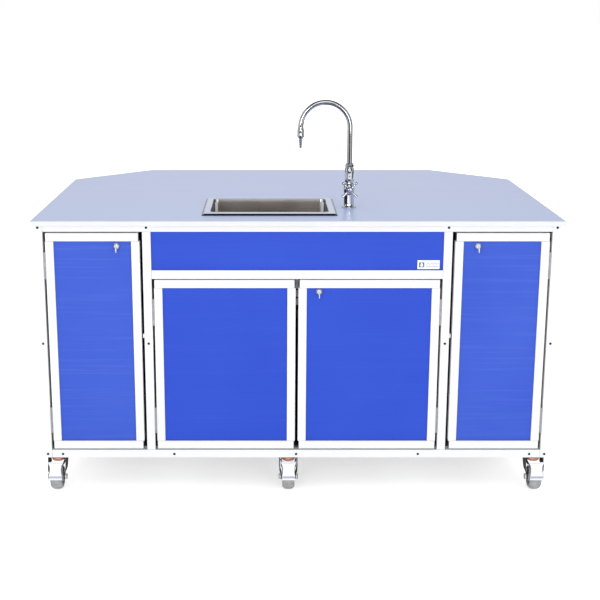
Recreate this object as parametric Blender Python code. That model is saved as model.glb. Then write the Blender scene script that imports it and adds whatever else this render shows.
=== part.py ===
"""Portable sink cabinet on casters: a long wheeled bench with four doors, a drop-in
sink, a gooseneck laboratory faucet, its own water tanks and pump, and a rear leaf
that folds down.

Metres, +Z up, +X to the user's right, the doors face -Y.  The origin is on the floor
under the middle of the whole bench.  Each object is one separate piece; pieces that
touch keep the clearance GAP.
"""
import math

import bmesh
import bpy
from mathutils import Matrix, Vector

# ---------------------------------------------------------------- driving dimensions
GAP = 0.0003                 # clearance between pieces that touch
TUBE = 0.028                 # square section of the frame tubes
FRAME_HALF_WIDTH = 0.8716
FRAME_DEPTH = 0.600
FRAME_BOTTOM = 0.1276
FRAME_TOP = 0.9490
COUNTER_TOP = 0.9655
COUNTER_HALF_WIDTH = 0.8735
COUNTER_FRONT_OVERHANG = 0.054
MAIN_COUNTER_DEPTH = 0.696
LEAF_DEPTH = 0.556
LEAF_STRAIGHT_SIDE = 0.273   # straight part of the leaf's side before its cut corner
LEAF_REAR_HALF_WIDTH = 0.589

PARTITION_X = 0.4999         # centre of the posts between the compartments
MID_RAIL_Z = 0.537
APRON_RAIL_Z = 0.7611
APRON_RAIL_HEIGHT = 0.0291
CROSS_MEMBER_X = (-0.8052, -0.4212, 0.0, 0.4212, 0.8052)

PANEL = 0.004                # thickness of the coloured panels
PANEL_RECESS = 0.006         # how far a panel lies behind the face of its frame
GROOVE = 0.005               # depth of the groove that holds a panel
PANEL_LAP = 0.014            # how far the rear panel laps onto the frame
FLOOR_PANEL = 0.006          # thickness of the floor panel

STILE = 0.0275               # width and depth of the door frame bars
HINGE_GAP = 0.0075
SIDE_LATCH_GAP = 0.0095
CENTRE_GAP = 0.0098
DOOR_BOTTOM = 0.1606
SIDE_DOOR_TOP = 0.9165
MIDDLE_DOOR_TOP = 0.7574
KNUCKLE_RADIUS = 0.0032
KNUCKLE_LENGTH = 0.030
HINGE_PIN_RADIUS = 0.0015
KNUCKLE_SEGMENTS = 8
SIDE_HINGE_Z = (0.2640, 0.8065)
MIDDLE_HINGE_Z = (0.2640, 0.6460)

SINK_X = -0.0920
SINK_RIM = (0.4555, 0.359)   # width and depth of the rim
SINK_RIM_FRONT = 0.0495      # from the frame's front face to the rim's front edge
SINK_RIM_HEIGHT = 0.0062
SINK_BOWL = (0.400, 0.2785)
SINK_BOWL_FRONT = 0.0965
SINK_DEPTH = 0.155
SINK_SHEET = 0.0014
DRAIN_RADIUS = 0.041

FAUCET_X = 0.184
FAUCET_SETBACK = 0.2307      # from the frame's front face to the faucet's axis
FAUCET_HOLE_RADIUS = 0.0125
GOOSENECK_RADIUS = 0.0845
GOOSENECK_CENTRE = 0.276     # height of the bend's centre above the counter
SPOUT_TUBE_RADIUS = 0.0091
HANDLE_HEIGHT = 0.0650
HANDLE_STAND_OFF = 0.036     # from the faucet's axis to the handle's hub

WHEEL_RADIUS = 0.0445
WHEEL_WIDTH = 0.043
AXLE_RADIUS = 0.0060
CASTER_TRAIL = 0.033         # from the swivel axis to the axle
CASTER_SETBACK = 0.068       # from the frame's face to the swivel axis
CASTER_X = {"left": -0.834, "middle": -0.026, "right": 0.834}
CASTER_PLATE = (0.067, 0.090, 0.0035)
RACEWAY_RADIUS = 0.028
RACEWAY_BOTTOM = 0.1139

FORK_CROWN = 0.0045          # thickness of the plate that joins a fork's legs
DISH_DEPTH = 0.0153            # of the copper kingpin dish under a fork's crown
FORK_SHEET = 0.0030            # thickness of a leg
FORK_EAR = 0.0115              # radius of a leg round the axle
FORK_SHOULDER = 0.0290         # half the clear width between a fork's upper legs
FORK_SHELF = (0.0620, 0.0652)  # heights where a fork's legs step in
KNOB_REACH = 0.0085            # an axle's nut cover beyond its leg
KNOB_RADIUS = 0.0098
PEDAL_HALF_WIDTH = 0.0240
CHEEK = (0.0230, 0.0255)       # inner and outer face of a pedal's cheek
PEDAL_PIVOT = (0.012, 0.0975)     # ahead of the swivel axis, and height

LOCK_BODY_RADIUS = 0.0085
LOCK_FACE_RADIUS = 0.0115
CAM_LENGTH = 0.056
CAM_CLEARANCE = 0.0020       # between the frame's tubes and the cam that turns behind them
CAM_HALF_WIDTH = 0.008
CAM_THICKNESS = 0.0017
LOCKS = {                    # (x, z) of each lock, and the side its open cam points to
    "left_door_lock": ((-0.5995, 0.8718), -1),
    "right_door_lock": ((0.5995, 0.8718), 1),
    "middle_door_lock": ((0.0738, 0.7165), 1),
}

LEAF_HINGE_X = (-0.62, 0.0, 0.62)
LEAF_KNUCKLE_RADIUS = 0.0045
LEAF_PIN_RADIUS = 0.0020
LEAF_KNUCKLE_HALF = 0.0125   # half the length of the middle knuckle
LEAF_HINGE_HALF = 0.0375     # half the length of the whole hinge
LEAF_PLATE = 0.0016
LEAF_PLATE_REACH = 0.034
COUNTER_SEAM_GAP = 0.0010
SUPPORT_PIVOT_Z = 0.655
SUPPORT_BAR = 0.014
SUPPORT_PAD = (0.022, 0.011, 0.010)   # reach before and past the bar's end, and thickness
SUPPORT_PIN_RADIUS = 0.004
BRACKET_HALF_WIDTH = 0.0108
BRACKET_HALF_HEIGHT = 0.014

FRESH_TANK = (0.300, 0.250, 0.340, 0.380)      # centre x, width, depth, height
WASTE_TANK = (-0.245, 0.270, 0.340, 0.400)
TANK_CORNER = 0.035
NECK_RADIUS = 0.030
HOSE_RADIUS = 0.0080
DRAIN_HOSE_RADIUS = 0.0190
PUMP_X = 0.045
PUMP_HALF_WIDTH = 0.046
PUMP_PORT_RADIUS = 0.008
PUMP_PORT_LENGTH = 0.020

INLET_X = 0.300
INLET_Z = 0.230
INLET_HALF_WIDTH = 0.024
INLET_HALF_HEIGHT = 0.016
SOCKET_HALF_WIDTH = 0.013
SOCKET_HALF_HEIGHT = 0.009

# ---------------------------------------------------------------- worked-out places
FRONT = -(MAIN_COUNTER_DEPTH + LEAF_DEPTH) / 2 + COUNTER_FRONT_OVERHANG
REAR = FRONT + FRAME_DEPTH
SEAM_Y = FRONT - COUNTER_FRONT_OVERHANG + MAIN_COUNTER_DEPTH
POST_INNER_X = FRAME_HALF_WIDTH - TUBE
BOTTOM_RAIL_TOP = FRAME_BOTTOM + TUBE
TOP_RAIL_BOTTOM = FRAME_TOP - TUBE
COUNTER_UNDERSIDE = FRAME_TOP + GAP
FLOOR_TOP = BOTTOM_RAIL_TOP + GAP + FLOOR_PANEL
FAUCET_Y = FRONT + FAUCET_SETBACK
SINK_RIM_Y = FRONT + SINK_RIM_FRONT + SINK_RIM[1] / 2
BOWL_Y = FRONT + SINK_BOWL_FRONT + SINK_BOWL[1] / 2
BOWL_FLOOR = COUNTER_TOP - SINK_DEPTH
TAIL_BOTTOM = BOWL_FLOOR - 0.085
SHANK_BOTTOM = COUNTER_TOP - 0.060
LEAF_AXIS_Z = COUNTER_UNDERSIDE - LEAF_KNUCKLE_RADIUS
SUPPORT_PIVOT_Y = REAR + 0.016
SUPPORT_END_Y = SEAM_Y + 0.330
TANK_Y = FRONT + 0.270
PUMP_Y = FRONT + 0.400
PUMP_Z = FLOOR_TOP + GAP
PORT_Y = PUMP_Y + 0.050
PORT_Z = PUMP_Z + 0.075
FORK_INNER = WHEEL_WIDTH / 2 + 0.0010
FORK_OUTER = FORK_INNER + FORK_SHEET
FORK_TOP = RACEWAY_BOTTOM - 2 * GAP

MATERIALS = {
    "frame_white": ((0.86, 0.87, 0.89), 0.35, 0.1),
    "panel_blue": ((0.06, 0.12, 0.70), 0.45, 0.0),
    "counter_laminate": ((0.56, 0.62, 0.78), 0.30, 0.0),
    "stainless": ((0.42, 0.41, 0.40), 0.30, 1.0),
    "chrome": ((0.75, 0.76, 0.78), 0.08, 1.0),
    "zinc": ((0.55, 0.56, 0.58), 0.35, 1.0),
    "copper": ((0.80, 0.38, 0.25), 0.35, 0.8),
    "wheel_rubber": ((0.38, 0.38, 0.39), 0.60, 0.0),
    "pedal_white": ((0.85, 0.86, 0.88), 0.40, 0.0),
    "tank_plastic": ((0.80, 0.84, 0.86), 0.40, 0.0),
    "waste_plastic": ((0.45, 0.47, 0.50), 0.45, 0.0),
    "black_plastic": ((0.03, 0.03, 0.03), 0.50, 0.0),
    "hose_clear": ((0.70, 0.74, 0.76), 0.30, 0.0),
    "hose_grey": ((0.30, 0.31, 0.33), 0.50, 0.0),
}


# ---------------------------------------------------------------- modelling helpers
def clear_scene():
    for obj in list(bpy.data.objects):
        bpy.data.objects.remove(obj, do_unlink=True)


def material(name):
    """The named Principled material, made once."""
    if name in bpy.data.materials:
        return bpy.data.materials[name]
    colour, roughness, metallic = MATERIALS[name]
    made = bpy.data.materials.new(name)
    made.use_nodes = True
    shader = made.node_tree.nodes["Principled BSDF"]
    shader.inputs["Base Color"].default_value = (*colour, 1.0)
    shader.inputs["Roughness"].default_value = roughness
    shader.inputs["Metallic"].default_value = metallic
    made.diffuse_color = (*colour, 1.0)
    return made


def object_from(bm, name="piece"):
    """A new object from a bmesh whose faces are turned outwards."""
    bmesh.ops.recalc_face_normals(bm, faces=bm.faces)
    mesh = bpy.data.meshes.new(name)
    bm.to_mesh(mesh)
    bm.free()
    obj = bpy.data.objects.new(name, mesh)
    bpy.context.scene.collection.objects.link(obj)
    return obj


def box(low, high):
    """A box between two opposite corners."""
    bm = bmesh.new()
    bmesh.ops.create_cube(bm, size=1.0)
    size = Vector(high) - Vector(low)
    middle = (Vector(high) + Vector(low)) / 2
    place = Matrix.Translation(middle) @ Matrix.Diagonal((*size, 1.0))
    bmesh.ops.transform(bm, matrix=place, verts=bm.verts)
    return object_from(bm)


def loft(loops, ring=False):
    """A skin over loops of equal length: capped at both ends, or closed on itself."""
    bm = bmesh.new()
    rows = [[bm.verts.new(point) for point in loop] for loop in loops]
    count = len(rows[0])
    pairs = list(zip(rows, rows[1:])) + ([(rows[-1], rows[0])] if ring else [])
    for lower, upper in pairs:
        for i in range(count):
            j = (i + 1) % count
            bm.faces.new((lower[i], lower[j], upper[j], upper[i]))
    if not ring:
        bm.faces.new(rows[0][::-1])
        bm.faces.new(rows[-1])
    return object_from(bm)


def frame_along(direction):
    """Two unit vectors square to a direction."""
    along = Vector(direction).normalized()
    side = Vector((0, 1, 0)) if abs(along.y) < 0.9 else Vector((0, 0, 1))
    across = along.cross(side).normalized()
    return across, along.cross(across).normalized()


def circle(centre, direction, radius, segments=24):
    """Points round a circle, starting half a step off so that a facet faces down."""
    across, up = frame_along(direction)
    turn = 2 * math.pi / segments
    return [
        Vector(centre) + radius * (math.cos(turn * (i + 0.5)) * across + math.sin(turn * (i + 0.5)) * up)
        for i in range(segments)
    ]


def turned(centre, direction, profile, segments=24, ring=False):
    """A turned solid: profile lists (distance along the axis, radius)."""
    along = Vector(direction).normalized()
    loops = [circle(Vector(centre) + along * s, along, r, segments) for s, r in profile]
    return loft(loops, ring)


def rounded_rectangle(x, y, width, depth, radius, z, corner_steps=3):
    """Points round a rectangle with rounded corners at one height."""
    points = []
    for corner in range(4):
        sx = (1, -1, -1, 1)[corner]
        sy = (1, 1, -1, -1)[corner]
        cx = x + sx * (width / 2 - radius)
        cy = y + sy * (depth / 2 - radius)
        for step in range(corner_steps + 1):
            angle = math.pi / 2 * (corner + step / corner_steps)
            points.append(Vector((cx + radius * math.cos(angle), cy + radius * math.sin(angle), z)))
    return points


def prism(outline, axis, low, high):
    """An outline pushed along X, Y or Z; it lists the other two coordinates in order."""
    def point(pair, along):
        values = list(pair)
        values.insert("XYZ".index(axis), along)
        return Vector(values)
    return loft([[point(pair, along) for pair in outline] for along in (low, high)])


def smooth_path(points, steps=4):
    """Points along a smooth curve through the given points (Catmull-Rom)."""
    route = [Vector(p) for p in points]
    route = [2 * route[0] - route[1]] + route + [2 * route[-1] - route[-2]]
    path = []
    for a, b, c, d in zip(route, route[1:], route[2:], route[3:]):
        for step in range(steps):
            t = step / steps
            path.append(0.5 * (2 * b + (c - a) * t + (2 * a - 5 * b + 4 * c - d) * t * t
                               + (3 * b - a - 3 * c + d) * t ** 3))
    path.append(route[-2])
    return path


def hose(points, radius, segments=8):
    """A round hose along a smooth route, with a frame carried from ring to ring."""
    path = smooth_path(points)
    chords = [(b - a).normalized() for a, b in zip(path, path[1:])]
    start = (Vector(points[1]) - Vector(points[0])).normalized()
    end = (Vector(points[-1]) - Vector(points[-2])).normalized()
    tangents = [start] + [(a + b).normalized() for a, b in zip(chords, chords[1:])] + [end]
    across, _ = frame_along(tangents[0])
    loops = []
    for centre, along in zip(path, tangents):
        across = (across - across.dot(along) * along).normalized()
        up = along.cross(across)
        loops.append([
            centre + radius * (math.cos(2 * math.pi * i / segments) * across
                               + math.sin(2 * math.pi * i / segments) * up)
            for i in range(segments)
        ])
    return loft(loops)


def boolean(base, tool, operation):
    """Apply one exact boolean to the base and drop the tool."""
    modifier = base.modifiers.new("boolean", "BOOLEAN")
    modifier.operation = operation
    modifier.solver = "EXACT"
    modifier.object = tool
    depsgraph = bpy.context.evaluated_depsgraph_get()
    mesh = bpy.data.meshes.new_from_object(base.evaluated_get(depsgraph))
    base.modifiers.clear()
    base.data = mesh
    bpy.data.objects.remove(tool, do_unlink=True)
    return base


def fuse(pieces):
    """Join overlapping pieces into one closed body."""
    base = pieces[0]
    for piece in pieces[1:]:
        base = boolean(base, piece, "UNION")
    return base


def cut(base, tools):
    """Take each tool away from the base."""
    for tool in tools:
        base = boolean(base, tool, "DIFFERENCE")
    return base


def finish(obj, name, material_name, origin=None, smooth=False):
    """Name the piece, give it its material and put its origin on its joint's axis."""
    obj.name = name
    obj.data.name = name
    obj.data.materials.clear()
    obj.data.materials.append(material(material_name))
    if origin is not None:
        obj.data.transform(Matrix.Translation(-Vector(origin)))
        obj.location = origin
    if smooth:
        obj.data.shade_smooth()
        obj.data.set_sharp_from_angle(angle=math.radians(35))
    return obj


# ---------------------------------------------------------------- hinge knuckles
def fixed_knuckles(x, y, z, side):
    """Hinge half on a post: two knuckles, the pin between them, and the leaf on the post."""
    half = KNUCKLE_LENGTH / 2
    ends = 1.5 * KNUCKLE_LENGTH
    profile = [(-ends, KNUCKLE_RADIUS), (-half - GAP, KNUCKLE_RADIUS), (-half - GAP, HINGE_PIN_RADIUS),
               (half + GAP, HINGE_PIN_RADIUS), (half + GAP, KNUCKLE_RADIUS), (ends, KNUCKLE_RADIUS)]
    pieces = [turned((x, y, z), (0, 0, 1), profile, KNUCKLE_SEGMENTS)]
    post_face = x - side * HINGE_GAP / 2
    for low, high in ((-ends, -half - GAP), (half + GAP, ends)):
        corners = sorted((post_face - side * 0.001, x))
        pieces.append(box((corners[0], y, z + low), (corners[1], y + 0.0020, z + high)))
    return pieces


def door_knuckle(x, y, z, side):
    """Hinge half on a door: the middle knuckle, bored for the pin, and its leaf."""
    half = KNUCKLE_LENGTH / 2
    bore = HINGE_PIN_RADIUS + GAP
    tube = turned((x, y, z), (0, 0, 1),
                  [(-half, KNUCKLE_RADIUS), (half, KNUCKLE_RADIUS), (half, bore), (-half, bore)],
                  KNUCKLE_SEGMENTS, ring=True)
    door_face = x + side * HINGE_GAP / 2
    corners = sorted((door_face + side * 0.001, x + side * (bore + 0.0004)))
    leaf = box((corners[0], y, z - half), (corners[1], y + 0.0020, z + half))
    return [tube, leaf]


# ---------------------------------------------------------------- cabinet frame
def side_hinge_x(sign):
    """Where the hinge axis of a side door is; sign is -1 on the left and 1 on the right."""
    return sign * (POST_INNER_X - HINGE_GAP / 2)


def middle_hinge_x(sign):
    """Where the hinge axis of a middle door is."""
    return sign * (PARTITION_X - TUBE / 2 - HINGE_GAP / 2)


def base_frame():
    """Front and rear bottom rails joined by the cross-members that carry the casters."""
    reach = POST_INNER_X - GAP
    pieces = [
        box((-reach, FRONT, FRAME_BOTTOM), (reach, FRONT + TUBE, BOTTOM_RAIL_TOP)),
        box((-reach, REAR - TUBE, FRAME_BOTTOM), (reach, REAR, BOTTOM_RAIL_TOP)),
    ]
    for x in CROSS_MEMBER_X:
        pieces.append(box((x - TUBE / 2, FRONT + TUBE / 2, FRAME_BOTTOM),
                          (x + TUBE / 2, REAR - TUBE / 2, BOTTOM_RAIL_TOP)))
    return finish(fuse(pieces), "base_frame", "frame_white")


def top_frame():
    """Front and rear top rails joined by two rails over the partitions."""
    reach = POST_INNER_X - GAP
    pieces = [
        box((-reach, FRONT, TOP_RAIL_BOTTOM), (reach, FRONT + TUBE, FRAME_TOP)),
        box((-reach, REAR - TUBE, TOP_RAIL_BOTTOM), (reach, REAR, FRAME_TOP)),
    ]
    for sign in (-1, 1):
        x = sign * PARTITION_X
        pieces.append(box((x - TUBE / 2, FRONT + TUBE / 2, TOP_RAIL_BOTTOM),
                          (x + TUBE / 2, REAR - TUBE / 2, FRAME_TOP)))
    return finish(cut(fuse(pieces), [apron_panel_block(GAP)]), "top_frame", "frame_white")


def end_frame(name, sign):
    """Corner posts at one end with top, middle and bottom rails, grooved for the side panel."""
    outer = sign * FRAME_HALF_WIDTH
    inner = sign * POST_INNER_X
    low, high = sorted((outer, inner))
    pieces = [
        box((low, FRONT, FRAME_BOTTOM), (high, FRONT + TUBE, FRAME_TOP)),
        box((low, REAR - TUBE, FRAME_BOTTOM), (high, REAR, FRAME_TOP)),
        box((low, FRONT + TUBE / 2, FRAME_BOTTOM), (high, REAR - TUBE / 2, BOTTOM_RAIL_TOP)),
        box((low, FRONT + TUBE / 2, TOP_RAIL_BOTTOM), (high, REAR - TUBE / 2, FRAME_TOP)),
    ]
    behind_panel = outer - sign * (PANEL_RECESS + PANEL + 2 * GAP)
    rail_low, rail_high = sorted((behind_panel, inner))
    pieces.append(box((rail_low, FRONT + TUBE / 2, MID_RAIL_Z - TUBE / 2),
                      (rail_high, REAR - TUBE / 2, MID_RAIL_Z + TUBE / 2)))
    for z in SIDE_HINGE_Z:
        pieces += fixed_knuckles(side_hinge_x(sign), FRONT, z, -sign)
    return finish(cut(fuse(pieces), [side_panel_block(sign, GAP)]), name, "frame_white")


def partition_frame(name, sign):
    """Front and rear posts between two compartments with their middle rail."""
    low = sign * PARTITION_X - TUBE / 2
    high = sign * PARTITION_X + TUBE / 2
    bottom = BOTTOM_RAIL_TOP + GAP
    top = TOP_RAIL_BOTTOM - GAP
    pieces = [
        box((low, FRONT, bottom), (high, FRONT + TUBE, top)),
        box((low, REAR - TUBE, bottom), (high, REAR, top)),
        box((low, FRONT + TUBE / 2, MID_RAIL_Z - TUBE / 2), (high, REAR - TUBE / 2, MID_RAIL_Z + TUBE / 2)),
    ]
    for z in MIDDLE_HINGE_Z:
        pieces += fixed_knuckles(middle_hinge_x(sign), FRONT, z, -sign)
    pieces += support_bracket(sign)
    return finish(cut(fuse(pieces), [apron_panel_block(GAP)]), name, "frame_white")


def apron_rail():
    """The front rail between the apron panel and the middle doors."""
    reach = PARTITION_X - TUBE / 2 - GAP
    rail = box((-reach, FRONT, APRON_RAIL_Z), (reach, FRONT + TUBE, APRON_RAIL_Z + APRON_RAIL_HEIGHT))
    return finish(cut(rail, [apron_panel_block(GAP)]), "apron_rail", "frame_white")


# ---------------------------------------------------------------- panels
def apron_panel_block(clearance):
    """The apron panel, or with a clearance the slot that holds it."""
    reach = PARTITION_X - TUBE / 2 + GROOVE + clearance
    front = FRONT + PANEL_RECESS
    return box((-reach, front - clearance, APRON_RAIL_Z + APRON_RAIL_HEIGHT - GROOVE - clearance),
               (reach, front + PANEL + clearance, TOP_RAIL_BOTTOM + GROOVE + clearance))


def side_panel_block(sign, clearance):
    """A side panel, or with a clearance the slot that holds it."""
    outer = sign * (FRAME_HALF_WIDTH - PANEL_RECESS + clearance)
    inner = sign * (FRAME_HALF_WIDTH - PANEL_RECESS - PANEL - clearance)
    low, high = sorted((outer, inner))
    return box((low, FRONT + TUBE - GROOVE - clearance, BOTTOM_RAIL_TOP - GROOVE - clearance),
               (high, REAR - TUBE + GROOVE + clearance, TOP_RAIL_BOTTOM + GROOVE + clearance))


def rear_panel():
    """One sheet screwed to the back of the frame, with windows for the inlet and the brackets."""
    reach = POST_INNER_X + PANEL_LAP
    sheet = box((-reach, REAR + GAP, BOTTOM_RAIL_TOP - PANEL_LAP),
                (reach, REAR + GAP + PANEL, TOP_RAIL_BOTTOM + PANEL_LAP))
    windows = [(INLET_X, INLET_Z, INLET_HALF_WIDTH, INLET_HALF_HEIGHT)]
    for sign in (-1, 1):
        windows.append((sign * PARTITION_X, SUPPORT_PIVOT_Z, BRACKET_HALF_WIDTH, BRACKET_HALF_HEIGHT))
    holes = [
        box((x - half_w - GAP, REAR - 0.01, z - half_h - GAP),
            (x + half_w + GAP, REAR + 0.02, z + half_h + GAP))
        for x, z, half_w, half_h in windows
    ]
    finish(cut(sheet, holes), "rear_panel", "panel_blue")


def cabinet_panels():
    """The apron, both sides, the back and the floor."""
    finish(apron_panel_block(0), "apron_panel", "panel_blue")
    finish(side_panel_block(-1, 0), "left_side_panel", "panel_blue")
    finish(side_panel_block(1, 0), "right_side_panel", "panel_blue")
    rear_panel()
    reach = POST_INNER_X - GAP
    floor = box((-reach, FRONT + TUBE + 0.001, BOTTOM_RAIL_TOP + GAP),
                (reach, REAR - TUBE - 0.001, FLOOR_TOP))
    finish(floor, "floor_panel", "frame_white")


# ---------------------------------------------------------------- doors
def door(name, hinge_x, latch_x, top, hinge_heights, lock=None):
    """A framed door: two stiles, two rails, a panel held in a groove, and hinge knuckles."""
    side = 1 if latch_x > hinge_x else -1
    hinge_edge = hinge_x + side * HINGE_GAP / 2
    low, high = sorted((hinge_edge, latch_x))
    back = FRONT + STILE
    pieces = [
        box((low, FRONT, DOOR_BOTTOM), (low + STILE, back, top)),
        box((high - STILE, FRONT, DOOR_BOTTOM), (high, back, top)),
        box((low + STILE / 2, FRONT, DOOR_BOTTOM), (high - STILE / 2, back, DOOR_BOTTOM + STILE)),
        box((low + STILE / 2, FRONT, top - STILE), (high - STILE / 2, back, top)),
    ]
    for z in hinge_heights:
        pieces += door_knuckle(hinge_x, FRONT, z, side)

    def panel(clearance):
        reach = GROOVE + clearance
        face = FRONT + PANEL_RECESS
        return box((low + STILE - reach, face - clearance, DOOR_BOTTOM + STILE - reach),
                   (high - STILE + reach, face + PANEL + clearance, top - STILE + reach))

    axis = (hinge_x, FRONT, DOOR_BOTTOM)
    finish(cut(fuse(pieces), [panel(GAP)]), name + "_frame", "frame_white", axis)
    sheet = panel(0)
    if lock:
        bore = LOCK_BODY_RADIUS + GAP
        hole = turned((lock[0], FRONT, lock[1]), (0, 1, 0), [(0, bore), (2 * TUBE, bore)], 16)
        sheet = cut(sheet, [hole])
    finish(sheet, name + "_panel", "panel_blue", axis)


def door_lock(name, place, cam_side):
    """Cam lock with its key: round face, barrel through the panel, and the cam behind."""
    x, z = place
    face = FRONT + PANEL_RECESS
    cam_y = FRONT + TUBE + CAM_CLEARANCE
    shell = turned((x, face, z), (0, 1, 0), [
        (-0.0060, LOCK_FACE_RADIUS - 0.0020), (-0.0045, LOCK_FACE_RADIUS), (-GAP, LOCK_FACE_RADIUS),
        (-GAP, LOCK_BODY_RADIUS), (cam_y - face + CAM_THICKNESS / 2, LOCK_BODY_RADIUS)], 16)
    reach = sorted((x, x + cam_side * CAM_LENGTH))
    cam = box((reach[0], cam_y, z - CAM_HALF_WIDTH), (reach[1], cam_y + CAM_THICKNESS, z + CAM_HALF_WIDTH))
    shank = box((x - 0.0012, face - 0.0190, z - 0.0035), (x + 0.0012, face - 0.0050, z + 0.0035))
    bow = turned((x - 0.0012, face - 0.0210, z - 0.0090), (1, 0, 0), [(0, 0.0095), (0.0024, 0.0095)], 12)
    finish(fuse([shell, cam, shank, bow]), name, "chrome", (x, face, z))


def doors():
    """All four doors and their three locks."""
    side_latch = PARTITION_X + TUBE / 2 + SIDE_LATCH_GAP
    for name, sign in (("left_door", -1), ("right_door", 1)):
        door(name, side_hinge_x(sign), sign * side_latch, SIDE_DOOR_TOP, SIDE_HINGE_Z,
             LOCKS[name + "_lock"][0])
    door("middle_left_door", middle_hinge_x(-1), -CENTRE_GAP / 2, MIDDLE_DOOR_TOP, MIDDLE_HINGE_Z)
    door("middle_right_door", middle_hinge_x(1), CENTRE_GAP / 2, MIDDLE_DOOR_TOP, MIDDLE_HINGE_Z,
         LOCKS["middle_door_lock"][0])
    for name, (place, cam_side) in LOCKS.items():
        door_lock(name, place, cam_side)


# ---------------------------------------------------------------- countertop and leaf
def leaf_hinge(x, on_leaf):
    """One half of a hinge under the counter's seam: end knuckles and pin, or middle knuckle."""
    half = LEAF_KNUCKLE_HALF
    inner = half + GAP
    ends = LEAF_HINGE_HALF
    outside = LEAF_KNUCKLE_RADIUS
    if on_leaf:
        spans = ((-half, half),)
        bore = LEAF_PIN_RADIUS + GAP
        profile = [(-half, outside), (half, outside), (half, bore), (-half, bore)]
    else:
        spans = ((-ends, -inner), (inner, ends))
        profile = [(-ends, outside), (-inner, outside), (-inner, LEAF_PIN_RADIUS),
                   (inner, LEAF_PIN_RADIUS), (inner, outside), (ends, outside)]
    side = 1 if on_leaf else -1
    pieces = [turned((x, SEAM_Y, LEAF_AXIS_Z), (1, 0, 0), profile, KNUCKLE_SEGMENTS, ring=on_leaf)]
    for low, high in spans:
        y_low, y_high = sorted((SEAM_Y + side * 0.0020, SEAM_Y + side * LEAF_PLATE_REACH))
        pieces.append(box((x + low, y_low, COUNTER_UNDERSIDE - LEAF_PLATE),
                          (x + high, y_high, COUNTER_UNDERSIDE + 0.001)))
    return pieces


def countertop():
    """The fixed front part of the counter, cut out for the bowl and drilled for the faucet."""
    slab = box((-COUNTER_HALF_WIDTH, FRONT - COUNTER_FRONT_OVERHANG, COUNTER_UNDERSIDE),
               (COUNTER_HALF_WIDTH, SEAM_Y - COUNTER_SEAM_GAP / 2, COUNTER_TOP))
    opening = [rounded_rectangle(SINK_X, BOWL_Y, SINK_BOWL[0] + 0.010, SINK_BOWL[1] + 0.010, 0.024, z)
               for z in (COUNTER_UNDERSIDE - 0.01, COUNTER_TOP + 0.01)]
    hole = turned((FAUCET_X, FAUCET_Y, COUNTER_UNDERSIDE - 0.01), (0, 0, 1),
                  [(0, FAUCET_HOLE_RADIUS), (0.04, FAUCET_HOLE_RADIUS)], 16)
    slab = cut(slab, [loft(opening), hole])
    for x in LEAF_HINGE_X:
        slab = fuse([slab] + leaf_hinge(x, on_leaf=False))
    finish(slab, "countertop", "counter_laminate")


def rear_leaf():
    """The rear part of the counter, with cut corners, hinged under the seam."""
    front = SEAM_Y + COUNTER_SEAM_GAP / 2
    side_end = SEAM_Y + LEAF_STRAIGHT_SIDE
    back = SEAM_Y + LEAF_DEPTH
    outline = [(-COUNTER_HALF_WIDTH, front), (COUNTER_HALF_WIDTH, front), (COUNTER_HALF_WIDTH, side_end),
               (LEAF_REAR_HALF_WIDTH, back), (-LEAF_REAR_HALF_WIDTH, back), (-COUNTER_HALF_WIDTH, side_end)]
    leaf = prism(outline, "Z", COUNTER_UNDERSIDE, COUNTER_TOP)
    for x in LEAF_HINGE_X:
        leaf = fuse([leaf] + leaf_hinge(x, on_leaf=True))
    finish(leaf, "rear_leaf", "counter_laminate", (0, SEAM_Y, LEAF_AXIS_Z))


def support_bracket(sign):
    """Two ears and a pin on the back of a partition post that carry a leaf support."""
    x = sign * PARTITION_X
    z = SUPPORT_PIVOT_Z
    inner = SUPPORT_BAR / 2 + 0.0008
    pieces = []
    for ear in (-1, 1):
        low, high = sorted((x + ear * inner, x + ear * BRACKET_HALF_WIDTH))
        pieces.append(box((low, REAR - 0.002, z - BRACKET_HALF_HEIGHT),
                          (high, SUPPORT_PIVOT_Y + 0.010, z + BRACKET_HALF_HEIGHT)))
    reach = inner + 0.001
    pieces.append(turned((x, SUPPORT_PIVOT_Y, z), (1, 0, 0),
                         [(-reach, SUPPORT_PIN_RADIUS), (reach, SUPPORT_PIN_RADIUS)], 16))
    return pieces


def leaf_support(name, sign):
    """A bar that swings up under the open leaf, bored at its foot for the bracket's pin."""
    x = sign * PARTITION_X
    foot = Vector((x, SUPPORT_PIVOT_Y, SUPPORT_PIVOT_Z))
    head_z = COUNTER_UNDERSIDE - GAP - 0.006
    head = Vector((x, SUPPORT_END_Y, head_z))
    along = (head - foot).normalized()
    across = Vector((0, -along.z, along.y))
    half = SUPPORT_BAR / 2
    corners = [foot - along * 0.010 - across * 0.009, foot - along * 0.010 + across * 0.009,
               head + across * 0.004, head - across * 0.009]
    bar = prism([(p.y, p.z) for p in corners], "X", x - half, x + half)
    before, past, thickness = SUPPORT_PAD
    pad = box((x - half, SUPPORT_END_Y - before, COUNTER_UNDERSIDE - GAP - thickness),
              (x + half, SUPPORT_END_Y + past, COUNTER_UNDERSIDE - GAP))
    bore = turned((x, SUPPORT_PIVOT_Y, SUPPORT_PIVOT_Z), (1, 0, 0),
                  [(-0.02, SUPPORT_PIN_RADIUS + GAP), (0.02, SUPPORT_PIN_RADIUS + GAP)], 16)
    finish(cut(fuse([bar, pad]), [bore]), name, "zinc", foot)


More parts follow.
